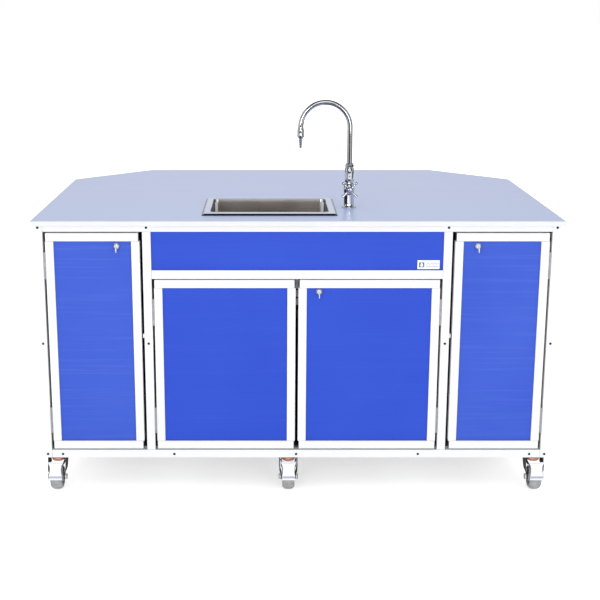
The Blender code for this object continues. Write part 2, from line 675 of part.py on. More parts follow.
# ---------------------------------------------------------------- sink
def sink_basin():
    """Pressed sheet: raised rim, rounded bowl and a floor with the drain's hole."""
    top = COUNTER_TOP + SINK_RIM_HEIGHT
    under = COUNTER_TOP + GAP
    sheet = SINK_SHEET
    bowl_w, bowl_d = SINK_BOWL
    rim_w, rim_d = SINK_RIM
    hole = DRAIN_RADIUS - 0.006

    def bowl_loop(shrink, z, radius):
        return rounded_rectangle(SINK_X, BOWL_Y, bowl_w - 2 * shrink, bowl_d - 2 * shrink, radius, z)

    def hole_loop(z):
        return rounded_rectangle(SINK_X, BOWL_Y, 2 * hole, 2 * hole, hole * 0.999, z)

    def rim_loop(shrink, z):
        return rounded_rectangle(SINK_X, SINK_RIM_Y, rim_w - 2 * shrink, rim_d - 2 * shrink, 0.006, z)

    loops = [
        rim_loop(0, under), rim_loop(0, under + 0.001), rim_loop(0.0105, top),
        bowl_loop(0, top, 0.018), bowl_loop(0.001, top - 0.006, 0.017),
        bowl_loop(0.004, BOWL_FLOOR + 0.020, 0.024), bowl_loop(0.010, BOWL_FLOOR + 0.006, 0.030),
        bowl_loop(0.022, BOWL_FLOOR, 0.036), hole_loop(BOWL_FLOOR - 0.002),
        hole_loop(BOWL_FLOOR - 0.002 - sheet), bowl_loop(0.022, BOWL_FLOOR - sheet, 0.036),
        bowl_loop(0.010 - sheet, BOWL_FLOOR + 0.005, 0.030),
        bowl_loop(0.004 - sheet, BOWL_FLOOR + 0.020, 0.024),
        bowl_loop(-sheet, top - 0.008, 0.018), bowl_loop(-sheet, top - sheet, 0.018),
        rim_loop(0.0115, top - sheet),
    ]
    finish(loft(loops, ring=True), "sink_basin", "stainless", smooth=True)


def sink_drain():
    """Strainer plate clamped in the bowl's hole, with the tail pipe under it."""
    floor = BOWL_FLOOR - 0.002
    rim = DRAIN_RADIUS
    throat = DRAIN_RADIUS - 0.008
    pipe = 0.019
    body = turned((SINK_X, BOWL_Y, floor), (0, 0, 1), [
        (GAP, rim), (0.0016, rim - 0.003), (0.0016, rim - 0.009), (-0.006, rim - 0.013),
        (-0.006, 0.004), (-0.0085, 0.004), (-0.0085, rim - 0.016),
        (-0.030, pipe - 0.003), (TAIL_BOTTOM - floor, pipe - 0.003), (TAIL_BOTTOM - floor, pipe),
        (-0.032, pipe), (-0.012, throat), (GAP, throat)], 16, ring=True)
    finish(body, "sink_drain", "stainless", smooth=True)


# ---------------------------------------------------------------- faucet
def faucet_body():
    """Flange, column, valve boss towards the user and vacuum-breaker body with its nut."""
    base = (FAUCET_X, FAUCET_Y, COUNTER_TOP)
    column = turned(base, (0, 0, 1), [
        (SHANK_BOTTOM - COUNTER_TOP, 0.0095), (GAP, 0.0095), (GAP, 0.0240), (0.003, 0.0240),
        (0.007, 0.0180), (0.052, 0.0172), (0.056, 0.0120), (0.082, 0.0120),
        (0.088, 0.0158), (0.134, 0.0158), (0.140, 0.0130),
        (0.143, 0.0145), (0.1490, 0.0145)], 16)
    boss = turned((FAUCET_X, FAUCET_Y, COUNTER_TOP + HANDLE_HEIGHT), (0, -1, 0),
                  [(0, 0.0130), (0.016, 0.0130), (0.018, 0.0100), (HANDLE_STAND_OFF - 0.008, 0.0100)], 16)
    sphere = turned(base, (0, 0, 1),
                    [(0.050, 0.0150), (0.056, 0.0185), (0.074, 0.0185), (0.082, 0.0150)], 16)
    finish(fuse([column, sphere, boss]), "faucet_body", "chrome", smooth=True)


def faucet_spout():
    """Gooseneck with a swelling at its mouth and a tapering hose tip."""
    riser_bottom = COUNTER_TOP + 0.1490 + GAP
    centre_z = COUNTER_TOP + GOOSENECK_CENTRE
    bend_x = FAUCET_X - GOOSENECK_RADIUS
    loops = [circle((FAUCET_X, FAUCET_Y, riser_bottom), (0, 0, 1), SPOUT_TUBE_RADIUS, 12)]
    steps = 16
    for step in range(steps + 1):
        angle = math.pi * step / steps
        centre = (bend_x + GOOSENECK_RADIUS * math.cos(angle), FAUCET_Y,
                  centre_z + GOOSENECK_RADIUS * math.sin(angle))
        loops.append(circle(centre, (-math.sin(angle), 0, math.cos(angle)), SPOUT_TUBE_RADIUS, 12))
    mouth = (bend_x - GOOSENECK_RADIUS, FAUCET_Y, centre_z)
    for drop, radius in ((0.006, 0.0105), (0.018, 0.0112), (0.034, 0.0110), (0.038, 0.0085),
                         (0.039, 0.0070), (0.072, 0.0043)):
        loops.append(circle((mouth[0], mouth[1], mouth[2] - drop), (0, 0, -1), radius, 12))
    finish(loft(loops), "faucet_spout", "chrome", (FAUCET_X, FAUCET_Y, riser_bottom), smooth=True)


def faucet_handle():
    """Four-armed cross handle on a hub that faces the user."""
    hub = Vector((FAUCET_X, FAUCET_Y - HANDLE_STAND_OFF, COUNTER_TOP + HANDLE_HEIGHT))
    pieces = [turned(hub, (0, -1, 0), [(-0.008 + GAP, 0.0108), (0.006, 0.0108), (0.009, 0.0070)], 16)]
    for quarter in range(4):
        angle = math.pi / 4 + quarter * math.pi / 2
        arm = Vector((math.cos(angle), 0, math.sin(angle)))
        profile = [(0.004, 0.0042), (0.020, 0.0034), (0.030, 0.0045), (0.036, 0.0040)]
        pieces.append(turned(hub, arm, profile, 8))
    finish(fuse(pieces), "faucet_handle", "chrome", hub, smooth=True)


# ---------------------------------------------------------------- water system
def tank(name, place, material_name, port_radius):
    """A moulded jug with a neck and a cap that carries the hose's port."""
    x, width, depth, height = place
    bottom = FLOOR_TOP + GAP
    corner = TANK_CORNER
    loops = [
        rounded_rectangle(x, TANK_Y, width - 0.020, depth - 0.020, corner - 0.010, bottom),
        rounded_rectangle(x, TANK_Y, width, depth, corner, bottom + 0.010),
        rounded_rectangle(x, TANK_Y, width, depth, corner, bottom + height - 0.050),
        rounded_rectangle(x, TANK_Y, width - 0.030, depth - 0.030, corner, bottom + height - 0.018),
        rounded_rectangle(x, TANK_Y, width - 0.080, depth - 0.080, corner, bottom + height),
    ]
    top = bottom + height
    neck = turned((x, TANK_Y, top - 0.005), (0, 0, 1),
                  [(0, NECK_RADIUS), (0.020, NECK_RADIUS), (0.020, NECK_RADIUS + 0.004),
                   (0.038, NECK_RADIUS + 0.004), (0.038, port_radius), (0.053, port_radius)], 20)
    finish(fuse([loft(loops), neck]), name, material_name, smooth=True)
    return top + 0.048


def water_pump():
    """Demand pump on its foot: motor, head and the two ports."""
    foot = box((PUMP_X - 0.050, PUMP_Y - 0.095, PUMP_Z), (PUMP_X + 0.050, PUMP_Y + 0.095, PUMP_Z + 0.006))
    axis_z = PUMP_Z + 0.052
    motor = turned((PUMP_X, PUMP_Y - 0.085, axis_z), (0, 1, 0),
                   [(0, 0.038), (0.004, 0.041), (0.096, 0.041), (0.100, 0.036)], 20)
    head = box((PUMP_X - PUMP_HALF_WIDTH, PUMP_Y + 0.012, PUMP_Z + 0.003),
               (PUMP_X + PUMP_HALF_WIDTH, PUMP_Y + 0.085, PUMP_Z + 0.100))
    pedestal = box((PUMP_X - 0.025, PUMP_Y - 0.070, PUMP_Z + 0.003),
                   (PUMP_X + 0.025, PUMP_Y, PUMP_Z + 0.030))
    pieces = [foot, motor, head, pedestal]
    for side in (-1, 1):
        profile = [(0, PUMP_PORT_RADIUS), (PUMP_PORT_LENGTH, PUMP_PORT_RADIUS)]
        start = (PUMP_X + side * (PUMP_HALF_WIDTH - 0.001), PORT_Y, PORT_Z)
        pieces.append(turned(start, (side, 0, 0), profile, 12))
    finish(fuse(pieces), "water_pump", "black_plastic", smooth=True)


def water_system():
    """Both tanks, the pump and the three hoses that join them to the faucet and the drain."""
    fresh_port = tank("fresh_water_tank", FRESH_TANK, "tank_plastic", HOSE_RADIUS)
    waste_port = tank("waste_water_tank", WASTE_TANK, "waste_plastic", DRAIN_HOSE_RADIUS)
    water_pump()
    x = FRESH_TANK[0]
    port_end = PUMP_HALF_WIDTH - 0.001 + PUMP_PORT_LENGTH + GAP
    suction = [
        (x, TANK_Y, fresh_port + GAP), (x, TANK_Y, fresh_port + 0.030),
        (x - 0.040, TANK_Y + 0.040, fresh_port + 0.085),
        (PUMP_X + 0.110, TANK_Y + 0.150, fresh_port - 0.020),
        (PUMP_X + 0.105, PORT_Y + 0.010, PORT_Z + 0.140), (PUMP_X + 0.105, PORT_Y, PORT_Z + 0.025),
        (PUMP_X + 0.082, PORT_Y, PORT_Z), (PUMP_X + port_end, PORT_Y, PORT_Z),
    ]
    finish(hose(suction, HOSE_RADIUS), "suction_hose", "hose_clear", smooth=True)
    supply = [
        (PUMP_X - port_end, PORT_Y, PORT_Z), (PUMP_X - 0.080, PORT_Y, PORT_Z),
        (PUMP_X - 0.098, PORT_Y, PORT_Z + 0.030), (PUMP_X - 0.075, PORT_Y + 0.020, PORT_Z + 0.160),
        (PUMP_X + 0.010, PORT_Y + 0.015, 0.640), (PUMP_X + 0.100, PORT_Y - 0.080, 0.780),
        (FAUCET_X, FAUCET_Y + 0.010, 0.850), (FAUCET_X, FAUCET_Y, SHANK_BOTTOM - 0.025),
        (FAUCET_X, FAUCET_Y, SHANK_BOTTOM - GAP),
    ]
    finish(hose(supply, HOSE_RADIUS), "supply_hose", "hose_clear", smooth=True)
    x = WASTE_TANK[0]
    drain = [
        (SINK_X, BOWL_Y, TAIL_BOTTOM - GAP), (SINK_X, BOWL_Y, TAIL_BOTTOM - 0.025),
        (SINK_X - 0.045, BOWL_Y, TAIL_BOTTOM - 0.062), (x + 0.030, TANK_Y, waste_port + 0.052),
        (x, TANK_Y, waste_port + 0.020), (x, TANK_Y, waste_port + GAP),
    ]
    finish(hose(drain, DRAIN_HOSE_RADIUS, 10), "drain_hose", "hose_grey", smooth=True)


# ---------------------------------------------------------------- power inlet
def power_inlet():
    """Flanged appliance inlet in the rear panel, with its open socket."""
    face = REAR + PANEL + 2 * GAP
    body = box((INLET_X - INLET_HALF_WIDTH, face - 0.030, INLET_Z - INLET_HALF_HEIGHT),
               (INLET_X + INLET_HALF_WIDTH, face + 0.001, INLET_Z + INLET_HALF_HEIGHT))
    flange = box((INLET_X - INLET_HALF_WIDTH - 0.010, face, INLET_Z - INLET_HALF_HEIGHT - 0.006),
                 (INLET_X + INLET_HALF_WIDTH + 0.010, face + 0.003, INLET_Z + INLET_HALF_HEIGHT + 0.006))
    socket = box((INLET_X - SOCKET_HALF_WIDTH, face - 0.018, INLET_Z - SOCKET_HALF_HEIGHT),
                 (INLET_X + SOCKET_HALF_WIDTH, face + 0.010, INLET_Z + SOCKET_HALF_HEIGHT))
    finish(cut(fuse([body, flange]), [socket]), "power_inlet", "black_plastic")


# ---------------------------------------------------------------- casters
def caster_plate(name, x, y):
    """Mounting plate with the raceway ring pressed under it."""
    width, depth, thickness = CASTER_PLATE
    top = FRAME_BOTTOM - GAP
    plate = box((x - width / 2, y - depth / 2, top - thickness), (x + width / 2, y + depth / 2, top))
    drop = top - thickness - RACEWAY_BOTTOM
    middle = thickness / 2
    ring = turned((x, y, top - middle), (0, 0, -1),
                  [(0, RACEWAY_RADIUS - 0.001), (middle + 0.002, RACEWAY_RADIUS),
                   (middle + drop - 0.003, RACEWAY_RADIUS), (middle + drop, RACEWAY_RADIUS - 0.004)], 24)
    finish(fuse([plate, ring]), name, "copper", smooth=True)


def caster_fork(name, x, y, forward):
    """Crown, kingpin dish, stepped legs and the axle; forward is -1 or 1 along Y."""
    axle_y = y + forward * CASTER_TRAIL
    shelf_low, shelf_high = FORK_SHELF
    upper = [(y - forward * 0.026, FORK_TOP), (y + forward * 0.034, FORK_TOP),
             (y + forward * 0.046, shelf_low), (y + forward * 0.006, shelf_low)]
    lower = [(axle_y + forward * 0.012, shelf_high)]
    for step in range(5):
        angle = math.pi * step / 4
        lower.append((axle_y + forward * FORK_EAR * math.cos(angle), WHEEL_RADIUS - FORK_EAR * math.sin(angle)))
    lower.append((y + forward * 0.008, shelf_high))

    shoulder = FORK_SHOULDER + FORK_SHEET
    parts = []
    for side in (-1, 1):
        low, high = sorted((x + side * FORK_SHOULDER, x + side * shoulder))
        parts.append(prism(upper, "X", low, high))
        low, high = sorted((x + side * FORK_INNER, x + side * FORK_OUTER))
        parts.append(prism(lower, "X", low, high))
        low, high = sorted((x + side * FORK_INNER, x + side * (shoulder - 0.0001)))
        near, far = sorted((y + forward * 0.0082, axle_y + forward * 0.0118))
        parts.append(box((low, near, shelf_low + 0.0001), (high, far, shelf_high)))
    near, far = sorted((y - forward * 0.0258, y + forward * 0.024))
    crown_bottom = FORK_TOP - FORK_CROWN
    parts.append(box((x - shoulder + 0.0001, near, crown_bottom), (x + shoulder - 0.0001, far, FORK_TOP)))
    parts.append(turned((x, y, crown_bottom + 0.001), (0, 0, -1),
                        [(0, 0.0240), (0.0030, 0.0240), (0.0045, 0.0220), (DISH_DEPTH, 0.0200)], 20))
    reach = FORK_OUTER + KNOB_REACH
    head = FORK_OUTER + 0.0001
    parts.append(turned((x, axle_y, WHEEL_RADIUS), (1, 0, 0),
                        [(-reach, KNOB_RADIUS), (-head, KNOB_RADIUS), (-head, AXLE_RADIUS),
                         (head, AXLE_RADIUS), (head, KNOB_RADIUS), (reach, KNOB_RADIUS)], 12))
    finish(fuse(parts), name, "zinc", (x, y, FORK_TOP))


def caster_wheel(name, x, y, forward):
    """Wheel with a rounded tread, bored for the axle."""
    centre = (x, y + forward * CASTER_TRAIL, WHEEL_RADIUS)
    half = WHEEL_WIDTH / 2
    bore = AXLE_RADIUS + GAP
    segments = 20
    tread = WHEEL_RADIUS / math.cos(math.pi / segments)
    side = [(0, bore), (0, 0.015), (0.004, 0.018), (0.002, 0.0345), (0.009, tread)]
    profile = [(-half + inset, r) for inset, r in side] + [(half - inset, r) for inset, r in reversed(side)]
    wheel = turned(centre, (1, 0, 0), profile, segments, ring=True)
    finish(wheel, name, "wheel_rubber", centre, smooth=True)


def brake_pedal(name, x, y, forward):
    """Brake pedal over the front of the wheel, with two cheeks between the fork's upper legs."""
    def side(points):
        return [(y + forward * ahead, z) for ahead, z in points]

    outline = side([(0.0640, 0.1060), (0.0670, 0.1060), (0.0860, 0.0640), (0.0860, 0.0500),
                    (0.0825, 0.0500), (0.0825, 0.0640)])
    plate = prism(outline, "X", x - PEDAL_HALF_WIDTH, x + PEDAL_HALF_WIDTH)
    inner, outer = CHEEK
    cheeks = []
    for cheek_side in (-1, 1):
        low, high = sorted((x + cheek_side * inner, x + cheek_side * outer))
        cheeks.append(prism(side([(0.006, 0.0905), (0.006, 0.1045), (0.0670, 0.1060),
                                  (0.0726, 0.0925)]), "X", low, high))
    edge = side([(0.0620, 0.1040), (0.0640, 0.1059), (0.0669, 0.1059), (0.0690, 0.1010), (0.0660, 0.1010)])
    brow = prism(edge, "X", x - outer + 0.0001, x + outer - 0.0001)
    finish(fuse([plate, brow] + cheeks), name, "pedal_white",
           (x, y + forward * PEDAL_PIVOT[0], PEDAL_PIVOT[1]))


def casters():
    """Six swivel casters; the front three have brake pedals."""
    rows = (("front", FRONT + CASTER_SETBACK, -1), ("rear", REAR - CASTER_SETBACK, 1))
    for row, y, forward in rows:
        for place, x in CASTER_X.items():
            name = f"{row}_{place}_caster"
            caster_plate(name + "_plate", x, y)
            caster_fork(name + "_fork", x, y, forward)
            caster_wheel(name + "_wheel", x, y, forward)
            if row == "front":
                brake_pedal(name + "_brake", x, y, forward)


# ---------------------------------------------------------------- assembly
def build():
    clear_scene()
    base_frame()
    top_frame()
    for name, sign in (("left_end_frame", -1), ("right_end_frame", 1)):
        end_frame(name, sign)
    for name, sign in (("left_partition_frame", -1), ("right_partition_frame", 1)):
        partition_frame(name, sign)
    apron_rail()
    cabinet_panels()
    doors()
    countertop()
    rear_leaf()
    for name, sign in (("left_leaf_support", -1), ("right_leaf_support", 1)):
        leaf_support(name, sign)
    sink_basin()
    sink_drain()
    faucet_body()
    faucet_spout()
    faucet_handle()
    water_system()
    power_inlet()
    casters()


build()
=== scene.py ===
# Looks of the portable sink cabinet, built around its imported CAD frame.
# Metres, +Z up, +X to the user's right, the doors face -Y. Places come from the frame's boxes, and sizes
# that no box gives repeat part.py's.
import math

import bmesh
import bpy
from mathutils import Matrix, Vector
from mathutils.geometry import tessellate_polygon


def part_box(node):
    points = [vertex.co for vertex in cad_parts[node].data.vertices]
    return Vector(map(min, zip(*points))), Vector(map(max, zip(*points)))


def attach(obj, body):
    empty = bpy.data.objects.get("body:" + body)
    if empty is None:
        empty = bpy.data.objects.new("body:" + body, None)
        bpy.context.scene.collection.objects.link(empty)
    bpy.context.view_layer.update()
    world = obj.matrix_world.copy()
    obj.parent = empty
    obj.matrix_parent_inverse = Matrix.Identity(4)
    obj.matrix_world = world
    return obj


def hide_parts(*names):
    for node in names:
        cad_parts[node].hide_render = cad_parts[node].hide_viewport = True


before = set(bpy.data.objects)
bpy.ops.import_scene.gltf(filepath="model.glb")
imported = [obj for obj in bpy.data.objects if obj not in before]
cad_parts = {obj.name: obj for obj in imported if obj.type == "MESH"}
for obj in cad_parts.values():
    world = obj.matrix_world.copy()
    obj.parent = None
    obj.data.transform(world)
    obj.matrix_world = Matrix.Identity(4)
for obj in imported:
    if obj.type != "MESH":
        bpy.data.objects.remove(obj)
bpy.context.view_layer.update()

# ---------------------------------------------------------------- places and sizes
BOX = {name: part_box(name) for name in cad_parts}
GAP = 0.0003
FRONT = BOX["base_frame"][0].y
REAR = BOX["base_frame"][1].y
FRAME_BOTTOM = BOX["base_frame"][0].z
TUBE = BOX["base_frame"][1].z - FRAME_BOTTOM
FRAME_TOP = BOX["top_frame"][1].z
OUTER_X = BOX["right_end_frame"][1].x
POST_X = OUTER_X - TUBE
PARTITION_X = 0.4999
MID_RAIL_Z = 0.537
APRON_LOW = BOX["apron_rail"][0].z
APRON_HIGH = BOX["apron_rail"][1].z
CROSS_X = (-0.8052, -0.4212, 0.0, 0.4212, 0.8052)
PANEL_FACE = FRONT + 0.006
STILE = 0.0275
GROOVE = 0.005
HINGE_GAP = 0.0075
SIDE_HINGE_Z = (0.264, 0.8065)
MIDDLE_HINGE_Z = (0.264, 0.646)
SEAM = 0.00055               # visible joint between two bars
BAR_EDGE = 0.0009            # eased edge of a frame or door bar
SHEET_EDGE = 0.0003          # eased edge of sheet metal
REAR_FACE = REAR + 0.0043    # outer face of the rear panel
LOCK_R = 0.0115
FLOOR_REACH = 400.0

COUNTER_TOP = BOX["countertop"][1].z
UNDERSIDE = FRAME_TOP + GAP
COUNTER_FRONT = BOX["countertop"][0].y
COUNTER_X = BOX["countertop"][1].x
SEAM_Y = COUNTER_FRONT + 0.696
LEAF_BACK = BOX["rear_leaf"][1].y
LEAF_SIDE_END = SEAM_Y + 0.273
LEAF_REAR_X = 0.589

SINK_X = -0.092
RIM_W, RIM_D = 0.4555, 0.359
RIM_Y = FRONT + 0.0495 + RIM_D / 2
BOWL_W, BOWL_D = 0.4, 0.2785
BOWL_Y = FRONT + 0.0965 + BOWL_D / 2
BOWL_FLOOR = COUNTER_TOP - 0.155
TAIL_BOTTOM = BOWL_FLOOR - 0.085
FAUCET = Vector((0.184, FRONT + 0.2307, COUNTER_TOP))

FRONT_CASTER_Y = FRONT + 0.068
REAR_CASTER_Y = REAR - 0.068
CASTER_X = {"left": -0.834, "middle": -0.026, "right": 0.834}
WHEEL_R = 0.0445
TRAIL = 0.033
RACEWAY_BOTTOM = 0.1139

X, Y, Z = Vector((1, 0, 0)), Vector((0, 1, 0)), Vector((0, 0, 1))
MATERIALS = {}


# ---------------------------------------------------------------- materials
class Nodes:
    """A small helper that wires one procedural Principled material."""

    def __init__(self, name):
        self.name = name
        self.material = bpy.data.materials.new(name)
        self.material.use_nodes = True
        self.tree = self.material.node_tree
        self.shader = self.tree.nodes["Principled BSDF"]
        self.place = self.add("ShaderNodeTexCoord").outputs["Object"]

    def add(self, kind, **values):
        node = self.tree.nodes.new(kind)
        for key, value in values.items():
            setattr(node, key, value)
        return node

    def link(self, source, target):
        self.tree.links.new(source, target)

    def stretched(self, scale):
        node = self.add("ShaderNodeMapping")
        node.inputs["Scale"].default_value = scale
        self.link(self.place, node.inputs["Vector"])
        return node.outputs["Vector"]

    def noise(self, scale, detail=3.0, stretch=(1, 1, 1), roughness=0.55):
        node = self.add("ShaderNodeTexNoise")
        node.inputs["Scale"].default_value = scale
        node.inputs["Detail"].default_value = detail
        node.inputs["Roughness"].default_value = roughness
        self.link(self.stretched(stretch), node.inputs["Vector"])
        return node.outputs["Fac"]

    def cells(self, scale, feature="F1"):
        node = self.add("ShaderNodeTexVoronoi", feature=feature)
        node.inputs["Scale"].default_value = scale
        self.link(self.stretched((1, 1, 1)), node.inputs["Vector"])
        return node

    def spread(self, value, low, high, to_low=0.0, to_high=1.0):
        node = self.add("ShaderNodeMapRange")
        node.inputs["From Min"].default_value = low
        node.inputs["From Max"].default_value = high
        node.inputs["To Min"].default_value = to_low
        node.inputs["To Max"].default_value = to_high
        self.link(value, node.inputs["Value"])
        return node.outputs["Result"]

    def mix(self, factor, first, second):
        node = self.add("ShaderNodeMix", data_type="RGBA")
        self.link(factor, node.inputs["Factor"])
        for socket, colour in ((node.inputs[6], first), (node.inputs[7], second)):
            if isinstance(colour, tuple):
                socket.default_value = (*colour, 1.0)
            else:
                self.link(colour, socket)
        return node.outputs[2]

    def edges(self, radius):
        """About 1 on convex edges and corners, and 0 on flat faces."""
        bevel = self.add("ShaderNodeBevel", samples=4)
        bevel.inputs["Radius"].default_value = radius
        dot = self.add("ShaderNodeVectorMath", operation="DOT_PRODUCT")
        self.link(bevel.outputs["Normal"], dot.inputs[0])
        self.link(self.add("ShaderNodeNewGeometry").outputs["Normal"], dot.inputs[1])
        return self.spread(dot.outputs["Value"], 0.995, 0.86)

    def bump(self, height, distance, strength=1.0):
        node = self.add("ShaderNodeBump")
        node.inputs["Strength"].default_value = strength
        node.inputs["Distance"].default_value = distance
        self.link(height, node.inputs["Height"])
        self.link(node.outputs["Normal"], self.shader.inputs["Normal"])

    def finish(self, colour, roughness, **uniform):
        self.link(colour, self.shader.inputs["Base Color"])
        self.link(roughness, self.shader.inputs["Roughness"])
        for key, value in uniform.items():
            self.shader.inputs[key.replace("_", " ")].default_value = value
        MATERIALS[self.name] = self.material
        return self.material


def plain(name, light, dark, rough, patch=6.0, grain=700.0, depth=0.00006, wear=None, stretch=(1, 1, 1),
        **uniform):
    """A finished surface: slow patches of colour, fine grain in colour, gloss and relief, worn edges."""
    n = Nodes(name)
    slow = n.spread(n.noise(patch, 4.0), 0.32, 0.68)
    fine = n.noise(grain, 2.0, stretch)
    colour = n.mix(slow, light, dark)
    speck = n.spread(fine, 0.6, 0.78, 0.0, 0.35)
    colour = n.mix(speck, colour, tuple(0.82 * c for c in dark))
    if wear:
        worn = n.spread(n.noise(60.0, 4.0), 0.45, 0.75)
        both = n.add("ShaderNodeMath", operation="MULTIPLY")
        n.link(worn, both.inputs[0])
        n.link(n.edges(0.0012), both.inputs[1])
        colour = n.mix(both.outputs["Value"], colour, wear)
    n.bump(fine, depth, 0.6)
    return n.finish(colour, n.spread(n.noise(grain / 9, 4.0, stretch), 0.3, 0.7, *rough), **uniform)


def panel_material(name, light, dark, painted_streak_colour, strength):
    """Moulded panel: hair-cell grain, faint level streaks painted in as reflections, and slow tone changes
    painted in as sheen.
    """
    n = Nodes(name)
    slow = n.spread(n.noise(2.4, 3.0), 0.3, 0.7)
    colour = n.mix(slow, light, dark)
    # Painted reflection: faint level streaks towards a lighter blue; they also vary the gloss.
    streak_reflections = n.noise(9.0, 3.0, (0.3, 0.3, 16.0), 0.6)
    colour = n.mix(n.spread(streak_reflections, 0.52, 0.74, 0.0, strength), colour, painted_streak_colour)
    grain = n.cells(620.0, "SMOOTH_F1").outputs["Distance"]
    n.bump(grain, 0.0001, 0.35)
    rough = n.spread(streak_reflections, 0.3, 0.7, 0.4, 0.52)
    return n.finish(colour, rough, Specular_IOR_Level=0.28)


def laminate_material():
    """High-pressure laminate: pale blue-grey with very fine speckle and a pebbled, semi-gloss face."""
    n = Nodes("counter_laminate")
    slow = n.spread(n.noise(1.8, 3.0), 0.3, 0.7)
    colour = n.mix(slow, (0.445, 0.53, 0.785), (0.455, 0.54, 0.795))
    speck = n.noise(900.0, 2.0)
    colour = n.mix(n.spread(speck, 0.6, 0.75, 0.0, 0.55), colour, (0.36, 0.43, 0.64))
    colour = n.mix(n.spread(speck, 0.38, 0.25, 0.0, 0.55), colour, (0.54, 0.62, 0.82))
    n.bump(n.noise(700.0, 2.0), 0.00003, 0.25)
    return n.finish(colour, n.spread(speck, 0.3, 0.7, 0.3, 0.34), Specular_IOR_Level=0.45)


def steel_material():
    """Pressed stainless steel with long fine brush lines: the flange painted bright and bluish as painted
    reflection, the bowl below it painted darker as painted shade inside the basin.
    """
    n = Nodes("stainless")
    lines = n.noise(640.0, 3.0, (0.02, 1, 1), 0.5)
    smudge = n.spread(n.noise(9.0, 4.0), 0.35, 0.7)
    split = n.add("ShaderNodeSeparateXYZ")
    n.link(n.place, split.inputs[0])
    # Painted light: above the counter the flange takes a bright bluish colour as painted reflection; below
    # it the bowl takes a darker, warmer colour as painted shade.
    basin_painted_shade = n.spread(split.outputs["Z"], COUNTER_TOP + 0.005, COUNTER_TOP + 0.003)
    flange = n.mix(lines, (0.56, 0.63, 0.83), (0.52, 0.59, 0.79))
    bowl = n.mix(lines, (0.42, 0.4, 0.375), (0.38, 0.36, 0.34))
    bowl = n.mix(n.spread(smudge, 0.4, 1.0, 0.0, 0.5), bowl, (0.33, 0.31, 0.31))
    colour = n.mix(basin_painted_shade, flange, bowl)
    n.bump(lines, 0.000006, 0.5)
    return n.finish(colour, n.spread(smudge, 0.0, 1.0, 0.16, 0.24), Metallic=1.0)


def zinc_material(name, light, dark, rough, metal=1.0):
    """Zinc plate: small crystals of slightly different brightness."""
    n = Nodes(name)
    crystal = n.cells(190.0).outputs["Color"]
    split = n.add("ShaderNodeSeparateColor")
    n.link(crystal, split.inputs["Color"])
    colour = n.mix(n.spread(split.outputs[0], 0.0, 1.0), light, dark)
    colour = n.mix(n.spread(n.noise(35.0, 4.0), 0.55, 0.8, 0.0, 0.45), colour, tuple(0.6 * c for c in dark))
    n.bump(n.noise(900.0, 2.0), 0.00003, 0.6)
    return n.finish(colour, n.spread(n.noise(80.0, 4.0), 0.3, 0.7, *rough), Metallic=metal)


def rubber_material(name, light, dark):
    """Grey tread: mottled and dusty, with tiny pits and darker scuffs."""
    n = Nodes(name)
    slow = n.spread(n.noise(55.0, 5.0), 0.35, 0.65)
    colour = n.mix(slow, light, dark)
    dust = n.spread(n.noise(260.0, 3.0), 0.56, 0.75, 0.0, 0.6)
    colour = n.mix(dust, colour, tuple(min(1.0, 1.35 * c) for c in light))
    scuff = n.spread(n.noise(24.0, 6.0, (0.5, 3, 3)), 0.6, 0.72, 0.0, 0.55)
    colour = n.mix(scuff, colour, tuple(0.5 * c for c in dark))
    n.bump(n.noise(480.0, 3.0), 0.00025, 0.6)
    return n.finish(colour, n.spread(slow, 0, 1, 0.55, 0.75))


# Each call adds its material to MATERIALS.
plain("frame_white", (0.71, 0.715, 0.72), (0.68, 0.685, 0.695), (0.34, 0.46), wear=(0.58, 0.59, 0.61))
# Painted light: a whiter colour than the laminate top for the counter boards' edges and underside, standing
# in for the lamps lighting the front edge.
plain("edge_painted_light", (0.63, 0.63, 0.64), (0.59, 0.6, 0.615), (0.35, 0.45), grain=500.0)
panel_material("panel_blue", (0.012, 0.053, 0.465), (0.015, 0.06, 0.485), (0.03, 0.084, 0.525), 0.25)
# Painted sheen: a lighter copy of the panel blue with stronger streaks, for the side doors and side panels,
# whose haze is reflected floor light.
panel_material("panel_blue_painted_sheen", (0.024, 0.073, 0.47), (0.032, 0.085, 0.495), (0.065, 0.13, 0.54), 0.4)
laminate_material()
steel_material()
plain("chrome", (0.78, 0.79, 0.81), (0.7, 0.71, 0.74), (0.03, 0.07), patch=20.0, grain=300.0,
    depth=0.000004, Metallic=1.0)
zinc_material("zinc", (0.5, 0.51, 0.53), (0.38, 0.39, 0.41), (0.28, 0.45), 0.5)
zinc_material("fork_steel", (0.115, 0.12, 0.125), (0.07, 0.073, 0.078), (0.3, 0.48), 0.35)
plain("copper", (1.0, 0.5, 0.36), (0.97, 0.42, 0.28), (0.24, 0.4), patch=40.0, grain=420.0, Metallic=0.15)
rubber_material("wheel_rubber", (0.33, 0.33, 0.34), (0.24, 0.24, 0.25))
# Painted highlight: near-white, barely metallic steel for the strips on the sink's rear inner corners,
# where the lamps' glints fall.
plain("stainless_painted_glint", (0.97, 0.97, 0.97), (0.9, 0.9, 0.91), (0.18, 0.28), patch=30.0, grain=300.0,
    depth=0.00001, Metallic=0.1)
# Painted shade: a near-black, unmetallic copy of the steel for the sink bowl's side walls, which stand in
# shade.
plain("stainless_painted_shade", (0.085, 0.088, 0.105), (0.06, 0.063, 0.078), (0.3, 0.42), patch=20.0, grain=400.0,
    depth=0.00001, Specular_IOR_Level=0.25)
# Painted highlight: a near-white, mostly unmetallic stand-in for chrome on the lock plug's face and the
# faucet's caps and front plate, which catch the lamps.
plain("chrome_painted_highlight", (0.8, 0.82, 0.85), (0.72, 0.74, 0.78), (0.15, 0.25), patch=60.0, grain=500.0,
    Metallic=0.25)
